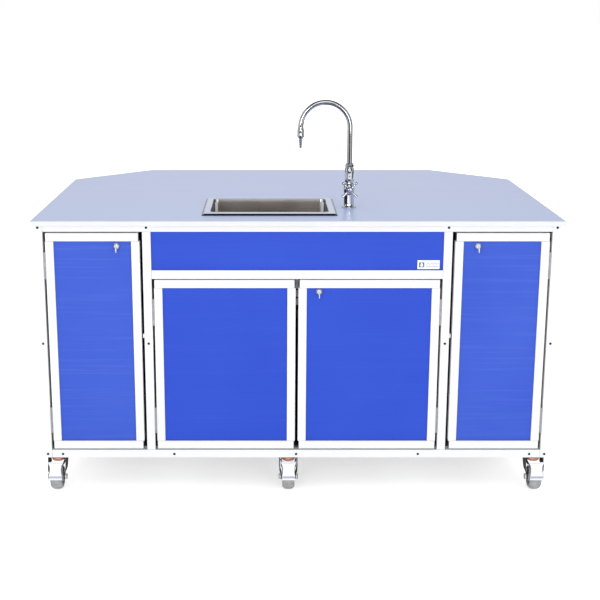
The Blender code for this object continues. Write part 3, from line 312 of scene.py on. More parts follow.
# Painted shade: a blue-grey colour for the shadow in the pedal's crease over the foot bar.
plain("crease_painted_shade", (0.4, 0.42, 0.48), (0.36, 0.38, 0.43), (0.4, 0.55), patch=40.0, grain=500.0)
plain("pedal_white", (0.74, 0.75, 0.77), (0.68, 0.69, 0.72), (0.3, 0.42), patch=30.0, grain=500.0)
plain("tank_plastic", (0.82, 0.86, 0.88), (0.76, 0.81, 0.84), (0.32, 0.48), grain=260.0, depth=0.0002,
    Subsurface_Weight=0.15, Subsurface_Scale=0.02)
plain("waste_plastic", (0.42, 0.44, 0.47), (0.35, 0.37, 0.4), (0.38, 0.52), grain=260.0, depth=0.0002)
plain("black_plastic", (0.03, 0.03, 0.032), (0.018, 0.018, 0.02), (0.38, 0.55), grain=500.0, depth=0.0001)
plain("black_steel", (0.012, 0.012, 0.013), (0.007, 0.007, 0.008), (0.45, 0.6), grain=600.0,
    Specular_IOR_Level=0.3)
plain("plug_grey", (0.085, 0.087, 0.09), (0.06, 0.062, 0.065), (0.45, 0.6), grain=500.0)
plain("nylon", (0.72, 0.73, 0.74), (0.62, 0.63, 0.65), (0.35, 0.5), grain=400.0)
plain("hose_clear", (0.74, 0.8, 0.83), (0.66, 0.73, 0.77), (0.12, 0.22), patch=30.0, grain=200.0,
    Transmission_Weight=0.35, IOR=1.45)
plain("hose_grey", (0.27, 0.28, 0.3), (0.2, 0.21, 0.23), (0.42, 0.6), patch=30.0, grain=300.0)
# Painted shade: near-black for the cabinet's floor panel, so the inside seen through the door gaps reads
# dark.
plain("floor_panel_painted_shade", (0.1, 0.1, 0.11), (0.075, 0.077, 0.085), (0.42, 0.58), grain=400.0, depth=0.0001)
plain("cap_blue", (0.05, 0.16, 0.52), (0.04, 0.12, 0.42), (0.35, 0.5), grain=400.0)
plain("cap_red", (0.48, 0.04, 0.03), (0.38, 0.03, 0.025), (0.35, 0.5), grain=400.0)
plain("label_white", (0.9, 0.91, 0.92), (0.86, 0.87, 0.89), (0.28, 0.36), grain=900.0)
plain("label_ink", (0.13, 0.17, 0.27), (0.1, 0.13, 0.22), (0.3, 0.4), grain=900.0)


# ---------------------------------------------------------------- mesh helpers
def across(direction):
    """Two unit vectors square to a direction."""
    along = Vector(direction).normalized()
    side = Y if abs(along.y) < 0.9 else Z
    first = along.cross(side).normalized()
    return first, along.cross(first).normalized()


def hexagon(angle):
    """A hexagon's outline, as ring() takes it."""
    return math.cos(math.pi / 6) / math.cos(angle % (math.pi / 3) - math.pi / 6)


def table(size, values):
    """Rows of that many lengths: given in millimetres, returned in metres."""
    metres = [v / 1000 for v in values]
    return [tuple(metres[i:i + size]) for i in range(0, len(values), size)]


def mm(*values):
    """Pairs of lengths given in millimetres: a turned profile's way along its axis and its radius."""
    return table(2, values)


def arc(first, last, steps):
    """Angles from first to last, which are given in half turns."""
    return [math.pi * (first + (last - first) * i / steps) for i in range(steps + 1)]


def eased(low, high, radius, bore=None, ease=0.0004):
    """The profile of a rod with eased ends, or of a sleeve if it has a bore."""
    rod = [(low, radius - ease), (low + ease, radius), (high - ease, radius), (high, radius - ease)]
    return rod if bore is None else [(low, bore)] + rod + [(high, bore)]


def ring(centre, direction, radius, segments, shape=None):
    """Points round a circle, or round another outline that shape(angle) gives as a share of the radius."""
    first, second = across(direction)
    points = []
    for i in range(segments):
        a = 2 * math.pi * i / segments
        r = radius * (shape(a) if shape else 1.0)
        points.append(Vector(centre) + r * (math.cos(a) * first + math.sin(a) * second))
    return points


def rounded(x, y, width, depth, radius, z, steps=8):
    """Points round a rectangle with rounded corners at one height."""
    points = []
    for corner in range(4):
        cx = x + (1, -1, -1, 1)[corner] * (width / 2 - radius)
        cy = y + (1, 1, -1, -1)[corner] * (depth / 2 - radius)
        for step in range(steps + 1):
            a = math.pi / 2 * (corner + step / steps)
            points.append(Vector((cx + radius * math.cos(a), cy + radius * math.sin(a), z)))
    return points


def curve_through(points, steps=8):
    """Points along a smooth curve through the given points."""
    route = [Vector(p) for p in points]
    route = [2 * route[0] - route[1]] + route + [2 * route[-1] - route[-2]]
    path = []
    for a, b, c, d in zip(route, route[1:], route[2:], route[3:]):
        for step in range(steps):
            t = step / steps
            path.append(0.5 * (2 * b + (c - a) * t + (2 * a - 5 * b + 4 * c - d) * t * t
                + (3 * b - a - 3 * c + d) * t ** 3))
    return path + [route[-2]]


def walls(part, rows, mat=0):
    """Quads between each loop of vertices and the next."""
    for lower, upper in zip(rows, rows[1:]):
        for i in range(len(lower)):
            j = (i + 1) % len(lower)
            part.faces.new((lower[i], lower[j], upper[j], upper[i])).material_index = mat


class Piece:
    """One visual piece, gathered from closed shells that are given in the row frame."""

    def __init__(self, name, body, slot, *materials):
        self.name = name
        self.body = body
        self.slot = slot
        self.materials = materials or (slot,)
        self.bm = bmesh.new()

    def add(self, part, mat=0, smooth=True):
        """Takes in a closed shell; if mat is None, its faces keep the materials that they have."""
        bmesh.ops.recalc_face_normals(part, faces=part.faces)
        for face in part.faces:
            face.smooth = smooth
            if mat is not None:
                face.material_index = mat
        mesh = bpy.data.meshes.new("part")
        part.to_mesh(mesh)
        part.free()
        self.bm.from_mesh(mesh)
        bpy.data.meshes.remove(mesh)
        return self

    def box(self, low, high, edge=0.0008, mat=0, segments=2):
        """A box between any two opposite corners, with eased edges."""
        low, high = (Vector([f(p) for p in zip(low, high)]) for f in (min, max))
        part = bmesh.new()
        bmesh.ops.create_cube(part, size=1.0)
        place = Matrix.Translation((low + high) / 2) @ Matrix.Diagonal((*(high - low), 1.0))
        bmesh.ops.transform(part, matrix=place, verts=part.verts)
        bmesh.ops.bevel(part, geom=part.edges[:], offset=edge, segments=segments, affect="EDGES",
            profile=0.5)
        return self.add(part, mat, smooth=False)

    def loft(self, loops, closed=False, mat=0, smooth=True):
        """Walls from loop to loop, with flat ends or joined into a closed ring."""
        part = bmesh.new()
        rows = [[part.verts.new(p) for p in loop] for loop in loops]
        walls(part, rows + rows[:1] if closed else rows)
        if not closed:
            part.faces.new(rows[0][::-1])
            part.faces.new(rows[-1])
        return self.add(part, mat, smooth)

    def turned(self, centre, direction, profile, segments=48, closed=False, mat=0, shape=None):
        """A profile of (way along, radius) pairs turned about a line."""
        along = Vector(direction).normalized()
        return self.loft([ring(Vector(centre) + along * s, along, r, segments, shape) for s, r in profile],
            closed, mat)

    def prism(self, outline, axis, low, high, edge=0.0005, mat=0):
        """An outline of two coordinates pushed along X, Y or Z, with bevelled edges."""
        def point(pair, along):
            values = list(pair)
            values.insert("XYZ".index(axis), along)
            return values
        part = bmesh.new()
        rows = [[part.verts.new(point(pair, along)) for pair in outline] for along in (low, high)]
        walls(part, rows)
        part.faces.new(rows[0][::-1])
        part.faces.new(rows[1])
        bmesh.ops.recalc_face_normals(part, faces=part.faces)
        rims = [e for e in part.edges if e.calc_face_angle(0.0) > math.radians(40)]
        bmesh.ops.bevel(part, geom=rims, offset=edge, segments=2, profile=0.5, affect="EDGES")
        return self.add(part, mat, smooth=False)

    def tube(self, path, radius, segments=20, mat=0):
        """A round tube along a path; radius is a number or a function of the length along it."""
        path = [Vector(p) for p in path]
        chords = [(b - a).normalized() for a, b in zip(path, path[1:])]
        tangents = [chords[0]] + [(a + b).normalized() for a, b in zip(chords, chords[1:])] + [chords[-1]]
        side, _ = across(tangents[0])
        loops, length = [], 0.0
        for i, (centre, along) in enumerate(zip(path, tangents)):
            length += (path[i] - path[i - 1]).length if i else 0.0
            side = (side - side.dot(along) * along).normalized()
            up = along.cross(side)
            r = radius(length) if callable(radius) else radius
            loops.append([centre + r * (math.cos(2 * math.pi * k / segments) * side
                + math.sin(2 * math.pi * k / segments) * up) for k in range(segments)])
        return self.loft(loops, mat=mat)

    def screw(self, centre, direction, radius=0.0042, height=0.0015, mat=0):
        """A button-head screw with a hexagonal socket."""
        centre, along = Vector(centre), Vector(direction).normalized()
        dome = [(0.0, 1.0), (0.3, 1.0), (0.62, 0.9), (0.88, 0.72), (1.0, 0.54)]
        loops = [ring(centre + along * height * s, along, radius * r, 24) for s, r in dome]
        for s in (1.0, 0.25):
            loops.append(ring(centre + along * height * s, along, 0.5 * radius, 24, hexagon))
        return self.loft(loops, mat=mat)

    def done(self, *nodes):
        """Makes the object; it stands for the CAD nodes that are named."""
        mesh = bpy.data.meshes.new(self.name)
        for edge in self.bm.edges:
            if edge.is_manifold and edge.calc_face_angle(0.0) > math.radians(24):
                edge.smooth = False
        self.bm.to_mesh(mesh)
        self.bm.free()
        for name in self.materials:
            mesh.materials.append(MATERIALS[name])
        obj = bpy.data.objects.new(self.name, mesh)
        bpy.context.scene.collection.objects.link(obj)
        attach(obj, self.body)
        if nodes:
            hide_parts(*nodes)
        return obj


# ---------------------------------------------------------------- camera, light and floor
ROOM_BASE = 0.012
ROOM_LIGHTS = (    # direction, angle in degrees to where it is full and to where it ends, strength
    ((0.0, 1.0, 0.36), 15, 26, 0.85), ((0.0, -0.75, 0.66), 12, 30, 1.1),
    ((-0.95, -0.3, -0.24), 10, 34, 0.55), ((0.72, -0.69, -0.24), 9, 17, 1.1),
    ((0.0, -1.0, -0.3), 10, 30, 0.12), ((0.0, 0.0, -1.0), 40, 75, 0.1), ((-1.0, 0.15, 0.42), 15, 42, 0.5),
    ((1.0, 0.15, 0.42), 15, 42, 0.5), ((0.0, -1.0, 0.3), 8, 22, 0.45))


def stage():
    """White floor, the camera fitted to the photo, two soft lights in front and the room around them."""
    scene = bpy.context.scene
    scene.view_settings.view_transform = "Standard"
    camera = bpy.data.objects.new("camera", bpy.data.cameras.new("camera"))
    camera.location = (-0.1002, FRONT - 3.8807, 1.6474)
    camera.rotation_euler = (math.radians(90 - 13.872), 0, 0)
    camera.data.lens = 71.62
    camera.data.shift_x = 0.0548
    camera.data.clip_end = 100
    scene.collection.objects.link(camera)
    scene.camera = camera

    floor = bpy.data.objects.new("floor", bpy.data.meshes.new("floor"))
    corners = [(x * FLOOR_REACH, y * FLOOR_REACH, 0) for x, y in ((-1, -1), (1, -1), (1, 1), (-1, 1))]
    floor.data.from_pydata(corners, [], [(0, 1, 2, 3)])
    n = Nodes("floor_paper")
    slow = n.spread(n.noise(0.8, 3.0), 0.3, 0.7)
    paper = n.mix(slow, (0.97, 0.97, 0.97), (0.95, 0.95, 0.955))
    floor.data.materials.append(n.finish(paper, n.spread(slow, 0, 1, 0.85, 0.95), Emission_Strength=0.5,
        Emission_Color=(1, 1, 1, 1)))
    floor.visible_glossy = False
    scene.collection.objects.link(floor)

    target = Vector((0, -0.5, 0.55))
    for name, place, size, power in (
            ("key", (-1.6, FRONT - 4.6, 1.8), (1.8, 1.8), 56),
            ("fill", (1.8, FRONT - 4.4, 1.6), (1.6, 1.8), 40)):
        light = bpy.data.objects.new(name, bpy.data.lights.new(name, "AREA"))
        light.data.shape = "RECTANGLE"
        light.data.size, light.data.size_y = size
        light.data.energy = power
        light.location = place
        light.rotation_euler = (target - Vector(place)).to_track_quat("-Z", "Y").to_euler()
        scene.collection.objects.link(light)
    surroundings(scene)


def surroundings(scene):
    """White paper for the camera, even white light for matt surfaces, and a dim studio for glossy ones."""
    world = bpy.data.worlds.new("world")
    scene.world = world
    world.use_nodes = True
    tree = world.node_tree
    tree.nodes.clear()

    def node(kind, **values):
        made = tree.nodes.new(kind)
        for key, value in values.items():
            setattr(made, key, value)
        return made

    direction = node("ShaderNodeTexCoord").outputs["Generated"]
    total = None
    for towards, inner, outer, value in ROOM_LIGHTS:
        dot = node("ShaderNodeVectorMath", operation="DOT_PRODUCT")
        tree.links.new(direction, dot.inputs[0])
        dot.inputs[1].default_value = Vector(towards).normalized()
        fade = node("ShaderNodeMapRange", interpolation_type="SMOOTHSTEP")
        fade.inputs["From Min"].default_value = math.cos(math.radians(outer))
        fade.inputs["From Max"].default_value = math.cos(math.radians(inner))
        fade.inputs["To Max"].default_value = value
        tree.links.new(dot.outputs["Value"], fade.inputs["Value"])
        if total is None:
            total = fade.outputs["Result"]
        else:
            add = node("ShaderNodeMath", operation="ADD")
            tree.links.new(total, add.inputs[0])
            tree.links.new(fade.outputs["Result"], add.inputs[1])
            total = add.outputs["Value"]
    base = node("ShaderNodeMath", operation="ADD")
    base.inputs[1].default_value = ROOM_BASE
    tree.links.new(total, base.inputs[0])

    path = node("ShaderNodeLightPath")
    output = node("ShaderNodeOutputWorld")
    paper, glow, room = (node("ShaderNodeBackground") for _ in range(3))
    for background in (paper, glow, room):
        background.inputs["Color"].default_value = (1, 1, 1, 1)
        background.inputs["Strength"].default_value = 1.0
    glow.inputs["Strength"].default_value = 0.92
    tree.links.new(base.outputs["Value"], room.inputs["Strength"])
    first, second = node("ShaderNodeMixShader"), node("ShaderNodeMixShader")
    tree.links.new(path.outputs["Is Glossy Ray"], first.inputs["Fac"])
    tree.links.new(glow.outputs[0], first.inputs[1])
    tree.links.new(room.outputs[0], first.inputs[2])
    tree.links.new(path.outputs["Is Camera Ray"], second.inputs["Fac"])
    tree.links.new(first.outputs[0], second.inputs[1])
    tree.links.new(paper.outputs[0], second.inputs[2])
    tree.links.new(second.outputs[0], output.inputs["Surface"])


# ---------------------------------------------------------------- cabinet frame
def bars(name, node, spans):
    """Square tubes as one piece, in place of the CAD node."""
    piece = Piece(name, "cabinet", "frame_white")
    for low, high in spans:
        piece.box(low, high, BAR_EDGE)
    return piece.done(node)


def frame_bars():
    """Base and top frames, end and partition frames and the apron's lower bar."""
    back = REAR - TUBE
    z0, z1 = FRAME_BOTTOM + TUBE, FRAME_TOP - TUBE
    reach = POST_X - SEAM
    half = TUBE / 2
    for node, z, crossing in (
            ("base_frame", FRAME_BOTTOM, CROSS_X), ("top_frame", z1, (-PARTITION_X, PARTITION_X))):
        spans = [((-reach, y, z), (reach, y + TUBE, z + TUBE)) for y in (FRONT, back)]
        spans += [((x - half, FRONT + TUBE + SEAM, z), (x + half, back - SEAM, z + TUBE)) for x in crossing]
        bars(node + "_bars", node, spans)
    for side, sign in (("left", -1), ("right", 1)):
        outer, inner = sign * OUTER_X, sign * POST_X
        behind = outer - sign * 0.0106
        spans = [((inner, y, FRAME_BOTTOM), (outer, y + TUBE, FRAME_TOP)) for y in (FRONT, back)]
        for a, b, x in ((FRAME_BOTTOM, z0, outer), (z1, FRAME_TOP, outer),
                (MID_RAIL_Z - half, MID_RAIL_Z + half, behind)):
            spans.append(((inner, FRONT + TUBE + SEAM, a), (x, back - SEAM, b)))
        bars(side + "_end_bars", side + "_end_frame", spans)
        x = sign * PARTITION_X
        spans = [((x - half, y, z0 + SEAM), (x + half, y + TUBE, z1 - SEAM)) for y in (FRONT, back)]
        spans.append(((x - half, FRONT + TUBE + SEAM, MID_RAIL_Z - half),
            (x + half, back - SEAM, MID_RAIL_Z + half)))
        bars(side + "_partition_bars", side + "_partition_frame", spans)
    reach = PARTITION_X - half - SEAM
    bars("apron_bar", "apron_rail", [((-reach, FRONT, APRON_LOW), (reach, FRONT + TUBE, APRON_HIGH))])


def frame_screws():
    """Socket screws through the posts, rails and panels."""
    piece = Piece("frame_screws", "cabinet", None, "black_steel")
    top, bottom = FRAME_TOP - TUBE / 2 - 0.0003, FRAME_BOTTOM + TUBE / 2 - 0.0011
    front = ((0.8586, top), (0.5, top), (0.857, MID_RAIL_Z), (0.5003, MID_RAIL_Z), (0.8578, bottom),
        (0.806, bottom), (0.421, bottom))
    side_z, rear_post_z = (0.195, 0.49, 0.785), (0.16, 0.35, 0.74, 0.915)
    rear_rail_x = (-0.62, -0.31, 0.0, 0.31, 0.62)
    for sign in (-1, 1):
        for x, z in front:
            piece.screw((sign * x, FRONT, z), -Y)
        for z in side_z:
            for y in (FRONT + TUBE / 2, REAR - TUBE / 2):
                piece.screw((sign * OUTER_X, y, z), (sign, 0, 0))
        for z in rear_post_z:
            piece.screw((sign * (POST_X + 0.007), REAR_FACE, z), Y)
    piece.screw((0, FRONT, bottom), -Y)
    for x in rear_rail_x:
        for z in (0.1485, 0.928):
            piece.screw((x, REAR_FACE, z), Y)
    piece.done()


# ---------------------------------------------------------------- doors
def hinge_leaf(piece, face_x, toward, z, spans):
    """A hinge leaf flat on a face in the hinge gap, with fingers that reach its knuckles."""
    plate = face_x + toward * 0.0012
    piece.box((face_x, FRONT + 0.0012, z - 0.045), (plate, FRONT + 0.0235, z + 0.045), SHEET_EDGE)
    for low, high in spans:
        piece.box((face_x + toward * 0.0002, FRONT + 0.0002, z + low),
            (face_x + toward * 0.0036, FRONT + 0.0022, z + high), SHEET_EDGE)
    for dz in (-0.033, 0.0, 0.033):
        piece.screw((plate, FRONT + 0.014, z + dz), (toward, 0, 0), 0.003, 0.0007)


def hinges(door_name, axis_x, side, heights):
    """Three-knuckle hinges: outer knuckles, pin and leaf on the post; the middle knuckle on the door."""
    post = Piece(door_name + "_hinge_posts", "cabinet", "zinc")
    leaf = Piece(door_name + "_hinge_leaves", door_name, "zinc")
    r, half, end, play = 0.0032, 0.015, 0.045, 0.0004
    for z in heights:
        centre = (axis_x, FRONT, z)
        for sign in (-1, 1):
            post.turned(centre, Z, eased(*sorted((sign * (half + play), sign * end)), r), 24)
            tip = [(sign * (end - 0.0005), 0.0022), (sign * (end + 0.0006), 0.0023),
                (sign * (end + 0.0013), 0.0012)]
            post.turned(centre, Z, tip, 20)
        post.turned(centre, Z, [(-half - 0.001, 0.0015), (half + 0.001, 0.0015)], 16)
        outer = ((-end, -half - play), (half + play, end))
        hinge_leaf(post, axis_x - side * HINGE_GAP / 2, side, z, outer)
        leaf.turned(centre, Z, eased(-half, half, r, bore=0.0019), 24, closed=True)
        hinge_leaf(leaf, axis_x + side * HINGE_GAP / 2, -side, z, ((-half, half),))
    post.done()
    leaf.done()


def door(name, hinge_side, heights):
    """Stiles between rails, end plugs in the rails, and the hinges; the panel is the CAD node."""
    low, high = BOX[name + "_panel"]
    lap = STILE - GROOVE
    x0, x1, z0, z1 = low.x - lap, high.x + lap, low.z - lap, high.z + lap
    back = FRONT + STILE
    piece = Piece(name + "_bars", name, "frame_white")
    for x in (x0, x1 - STILE):
        piece.box((x, FRONT, z0 + STILE + SEAM), (x + STILE, back, z1 - STILE - SEAM), BAR_EDGE)
    left, right = (0.0015, 0.004) if hinge_side < 0 else (0.004, 0.0015)
    plugs = Piece(name + "_plugs", name, None, "plug_grey")
    for z in (z0, z1 - STILE):
        piece.box((x0 + left, FRONT, z), (x1 - right, back, z + STILE), BAR_EDGE)
        for x, sign, gap in ((x0 + left, -1, left), (x1 - right, 1, right)):
            proud = min(0.0012, gap - 0.0002)
            plugs.box((x - sign * 0.001, FRONT + 0.0022, z + 0.0022),
                (x + sign * proud, back - 0.0022, z + STILE - 0.0022), 0.0004)
            for dz in (0.009, 0.0185):
                plugs.box((x, FRONT + 0.006, z + dz - 0.0006), (x + sign * (proud + 0.0003), back - 0.006,
                    z + dz + 0.0006), 0.0002)
    piece.done(name + "_frame")
    plugs.done()
    edge = x0 if hinge_side < 0 else x1
    hinges(name, edge + hinge_side * HINGE_GAP / 2, -hinge_side, heights)


def lock(name, door_name, cam_side):
    """Cam lock: bezel, plug, key, and behind the panel its nut, cam and end screw."""
    low, high = BOX[name]
    x = high.x - LOCK_R if cam_side < 0 else low.x + LOCK_R
    z = high.z - LOCK_R
    face = PANEL_FACE
    shell = Piece(name + "_shell", name, "chrome", "chrome", "chrome_painted_highlight")
    shell.turned((x, face, z), -Y, mm(0.4, 7.8, 0.4, 11, 0.6, 11.5, 3.2, 11.5, 4.6, 10.8, 5.6, 9.6,
        5.6, 8.6, 4.4, 7.8), closed=True)
    # The plug's face takes the painted-highlight chrome (1).
    shell.turned((x, face, z), -Y, mm(0.4, 7.7, 4, 7.4, 5, 6.8, 5.5, 6, 5.5, 0.4), mat=1)
    shell.turned((x, face, z), Y, mm(-0.2, 8.5, 23.8, 8.5), 40)
    shell.done(name)
    key = Piece(name + "_key", name, "chrome", "chrome_painted_highlight")
    key.box((x - 0.0011, face - 0.0178, z - 0.0034), (x + 0.0011, face - 0.005, z + 0.0034), 0.0004)
    hub = (x, face - 0.021, z - 0.009)
    key.turned(hub, X, mm(-1.2, 2.8, -1.2, 8.8, -0.7, 9.5, 0.7, 9.5, 1.2, 8.8, 1.2, 2.8), 40, closed=True)
    key.done()
    cam = Piece(name + "_cam", name, "zinc")
    shape = mm(-8.5, -8, 48, -8, 56, -4, 56, 4, 48, 8, -8.5, 8)
    outline = [(x + cam_side * along, z + up) for along, up in shape]
    near, far = FRONT + TUBE + 0.002, FRONT + TUBE + 0.0037
    cam.prism(outline, "Y", near, far, 0.0004)
    cam.turned((x, far, z), Y, mm(-0.2, 6, 0.6, 6, 0.6, 4.5, 3, 4.5, 3.6, 3.8), 6)
    cam.done()
    nut = Piece(name + "_nut", door_name, "zinc")
    nut.turned((x, face + 0.0042, z), Y, mm(0, 8.8, 0, 12.5, 0.4, 13, 4, 13, 4.4, 12.5, 4.4, 8.8), 48,
        closed=True, shape=hexagon)
    nut.done()


def doors():
    """Four doors with their hinged sides, and three locks with the sides that their cams point to."""
    for name, side, heights in (("left_door", -1, SIDE_HINGE_Z), ("right_door", 1, SIDE_HINGE_Z),
            ("middle_left_door", -1, MIDDLE_HINGE_Z), ("middle_right_door", 1, MIDDLE_HINGE_Z)):
        door(name, side, heights)
    lock("left_door_lock", "left_door", -1)
    lock("right_door_lock", "right_door", 1)
    lock("middle_door_lock", "middle_right_door", 1)


def catches():
    """Nylon bumpers in the side doors' latch gaps and a magnetic catch behind the middle doors."""
    bump = Piece("door_bumpers", "cabinet", None, "nylon")
    for sign in (-1, 1):
        face = sign * (PARTITION_X + TUBE / 2)
        bump.box((face - sign * 0.0002, FRONT + 0.003, 0.556), (face + sign * 0.0055, FRONT + 0.015, 0.57),
            0.0012)
    bump.done()
    plate_y = FRONT + TUBE + 0.0035
    strike = Piece("middle_catch", "cabinet", "zinc", "zinc", "black_steel")
    strike.box((-0.014, plate_y, 0.664), (0.014, plate_y + 0.0016, 0.73), 0.0004)
    strike.box((-0.014, FRONT + TUBE - 0.0002, 0.766), (0.014, plate_y + 0.0016, 0.788), 0.0004)
    strike.box((-0.006, plate_y + 0.0004, 0.728), (0.006, plate_y + 0.0016, 0.77), 0.0003)
    for z in (0.69, 0.718):
        strike.screw((0, plate_y, z), -Y, 0.0034, 0.001, mat=1)
    strike.done()


def label():
    """A plain label: a dark square with a generic drop, and three wavy lines in place of its text."""
    x0, x1, z0, z1 = 0.4005, 0.474, 0.794, 0.8235
    plate = Piece("apron_label", "cabinet", None, "label_white", "label_ink")
    plate.box((x0, PANEL_FACE - 0.0005, z0), (x1, PANEL_FACE + 0.0002, z1), 0.0002)
    face, back = PANEL_FACE - 0.0008, PANEL_FACE - 0.0004
    plate.box((x0 + 0.005, face, z0 + 0.0055), (x0 + 0.023, back, z1 - 0.0065), 0.00015, mat=1)
    cx, cz, r = x0 + 0.014, z0 + 0.0125, 0.0046
    drop = [(cx + r * math.cos(a), cz + r * math.sin(a)) for a in arc(0.83, 2.17, 20)]
    plate.prism(drop + [(cx, z0 + 0.0225)], "Y", face - 0.0003, back, 0.00008)
    for row in (0.0095, 0.015, 0.0205):
        top = [(x0 + 0.027 + 0.045 * i / 32, z0 + row + 0.001 * math.sin(i * math.pi / 4))
            for i in range(33)]
        plate.prism(top + [(x, z - 0.0017) for x, z in reversed(top)], "Y", face, back, 0.00006, mat=1)
    plate.done()


# ---------------------------------------------------------------- counter
def inset(outline, distance):
    """A convex outline moved inwards; it runs anticlockwise."""
    lines = []
    for a, b in zip(outline, outline[1:] + outline[:1]):
        d = (Vector(b) - Vector(a)).normalized()
        lines.append((Vector(a) + Vector((-d.y, d.x)) * distance, d))
    points = []
    for (p, d), (q, e) in zip(lines[-1:] + lines[:-1], lines):
        t = (q - p).cross(e) / d.cross(e)
        points.append(p + d * t)
    return points


def slab(piece, outline, holes):
    """A board with eased edges and holes: top is material 0, edges 1, underside 2."""
    low, high, edge = UNDERSIDE, COUNTER_TOP, 0.0012
    steps = [(edge, low), (0.3 * edge, low + 0.3 * edge), (0, low + edge), (0, high - edge),
        (0.3 * edge, high - 0.3 * edge), (edge, high)]
    part = bmesh.new()
    rows = [[part.verts.new((p.x, p.y, z)) for p in inset(outline, d)] for d, z in steps]
    walls(part, rows, 1)
    sides = [[[part.verts.new((x, y, z)) for x, y in hole] for hole in holes] for z in (low, high)]
    for lower, upper in zip(*sides):
        for i in range(len(lower)):
            j = (i + 1) % len(lower)
            part.faces.new((lower[j], lower[i], upper[i], upper[j])).material_index = 1
    for row, rings, mat in ((rows[0], sides[0], 2), (rows[-1], sides[1], 0)):
        loops = [row] + rings
        verts = [v for loop in loops for v in loop]
        for corner in tessellate_polygon([[v.co for v in loop] for loop in loops]):
            part.faces.new([verts[i] for i in corner]).material_index = mat
    piece.add(part, mat=None, smooth=False)


def counter():
    """The main slab with the sink's and the faucet's holes, and the rear leaf with its cut corners."""
    hole = [(p.x, p.y) for p in rounded(SINK_X, BOWL_Y, BOWL_W + 0.01, BOWL_D + 0.01, 0.024, 0)]
    bore = [(p.x, p.y) for p in ring(FAUCET, Z, 0.0125, 24)]
    near, far = SEAM_Y - 0.0005, SEAM_Y + 0.0005
    board = [(-COUNTER_X, COUNTER_FRONT), (COUNTER_X, COUNTER_FRONT), (COUNTER_X, near), (-COUNTER_X, near)]
    leaf = [(-COUNTER_X, far), (COUNTER_X, far), (COUNTER_X, LEAF_SIDE_END), (LEAF_REAR_X, LEAF_BACK),
        (-LEAF_REAR_X, LEAF_BACK), (-COUNTER_X, LEAF_SIDE_END)]
    for name, body, node, outline, holes in (
            ("counter_board", "cabinet", "countertop", board, [hole, bore]),
            ("leaf_board", "rear_leaf", "rear_leaf", leaf, [])):
        piece = Piece(name, body, "counter_laminate", "counter_laminate", "edge_painted_light", "edge_painted_light")
        slab(piece, outline, holes)
        piece.done(node)


def leaf_hinges():
    """Butt hinges under the seam: end knuckles on the counter, middle knuckle on the leaf."""
    fixed = Piece("leaf_hinge_fixed", "cabinet", "zinc")
    moving = Piece("leaf_hinge_moving", "rear_leaf", "zinc")
    r, half, play, end, plate = 0.0045, 0.0125, 0.0003, 0.0375, UNDERSIDE - 0.0016
    for x in (-0.62, 0.0, 0.62):
        centre = (x, SEAM_Y, UNDERSIDE - r)
        for sign in (-1, 1):
            fixed.turned(centre, X, eased(*sorted((sign * (half + play), sign * end)), r), 32)
            fixed.turned(centre, X, [(sign * 0.037, 0.003), (sign * 0.0384, 0.003), (sign * 0.039, 0.0018)],
                24)
        fixed.turned(centre, X, mm(-13, 2, 13, 2), 16)
        moving.turned(centre, X, eased(-half, half, r, bore=0.0024), 32, closed=True)
        outer = ((-end, -half - play), (half + play, end))
        for piece, sign, spans in ((fixed, -1, outer), (moving, 1, ((-half, half),))):
            near, far = SEAM_Y + sign * 0.005, SEAM_Y + sign * 0.034
            piece.box((x - end, near, plate), (x + end, far, UNDERSIDE), 0.0004)
            for low, high in spans:
                piece.box((x + low, SEAM_Y + sign * 0.0022, plate),
                    (x + high, near + sign * 0.001, UNDERSIDE), SHEET_EDGE)
            for dx in (-0.024, 0.0, 0.024):
                piece.screw((x + dx, SEAM_Y + sign * 0.021, plate), -Z, 0.0034, 0.0007)
    fixed.done()
    moving.done()


def leaf_supports():
    """Swinging props: a steel bar with a nylon pad, held in a bracket on the partition post."""
    foot = Vector((REAR + 0.016, 0.655))
    top = UNDERSIDE - GAP
    head = Vector((SEAM_Y + 0.33, top - 0.006))
    along = (head - foot).normalized()
    square = Vector((-along.y, along.x))
    brackets = Piece("support_brackets", "cabinet", "zinc")
    for side, sign in (("left", -1), ("right", 1)):
        x = sign * PARTITION_X
        name = side + "_leaf_support"
        outline = [foot + 0.009 * (math.cos(a) * along + math.sin(a) * square) for a in arc(0.5, 1.5, 10)]
        outline += [head - square * 0.007, head + along * 0.004, head + square * 0.002]
        bar = Piece(name + "_bar", name, "zinc")
        bar.prism([(p.x, p.y) for p in outline], "X", x - 0.007, x + 0.007, 0.0008)
        bar.done(name)
        pad = Piece(name + "_pad", name, None, "nylon")
        pad.box((x - 0.007, head.x - 0.0215, top - 0.0098), (x + 0.007, head.x + 0.0105, top), 0.0012)
        pad.done()
        rim = [(foot.x + 0.0098 * math.cos(a), foot.y + 0.0098 * math.sin(a)) for a in arc(-0.5, 0.5, 10)]
        rim += [(REAR - 0.001, foot.y + 0.013), (REAR - 0.001, foot.y - 0.013)]
        for ear in (-1, 1):
            low, high = sorted((x + ear * 0.008, x + ear * 0.0106))
            brackets.prism(rim, "X", low, high, 0.0004)
        brackets.turned((x, foot.x, foot.y), X, mm(-11.8, 4.2, -11.4, 5.2, -10.6, 5.2, -10.6, 4, 10.6, 4,
            10.6, 5.2, 11.4, 5.2, 11.8, 4.2), 32)
    brackets.done()


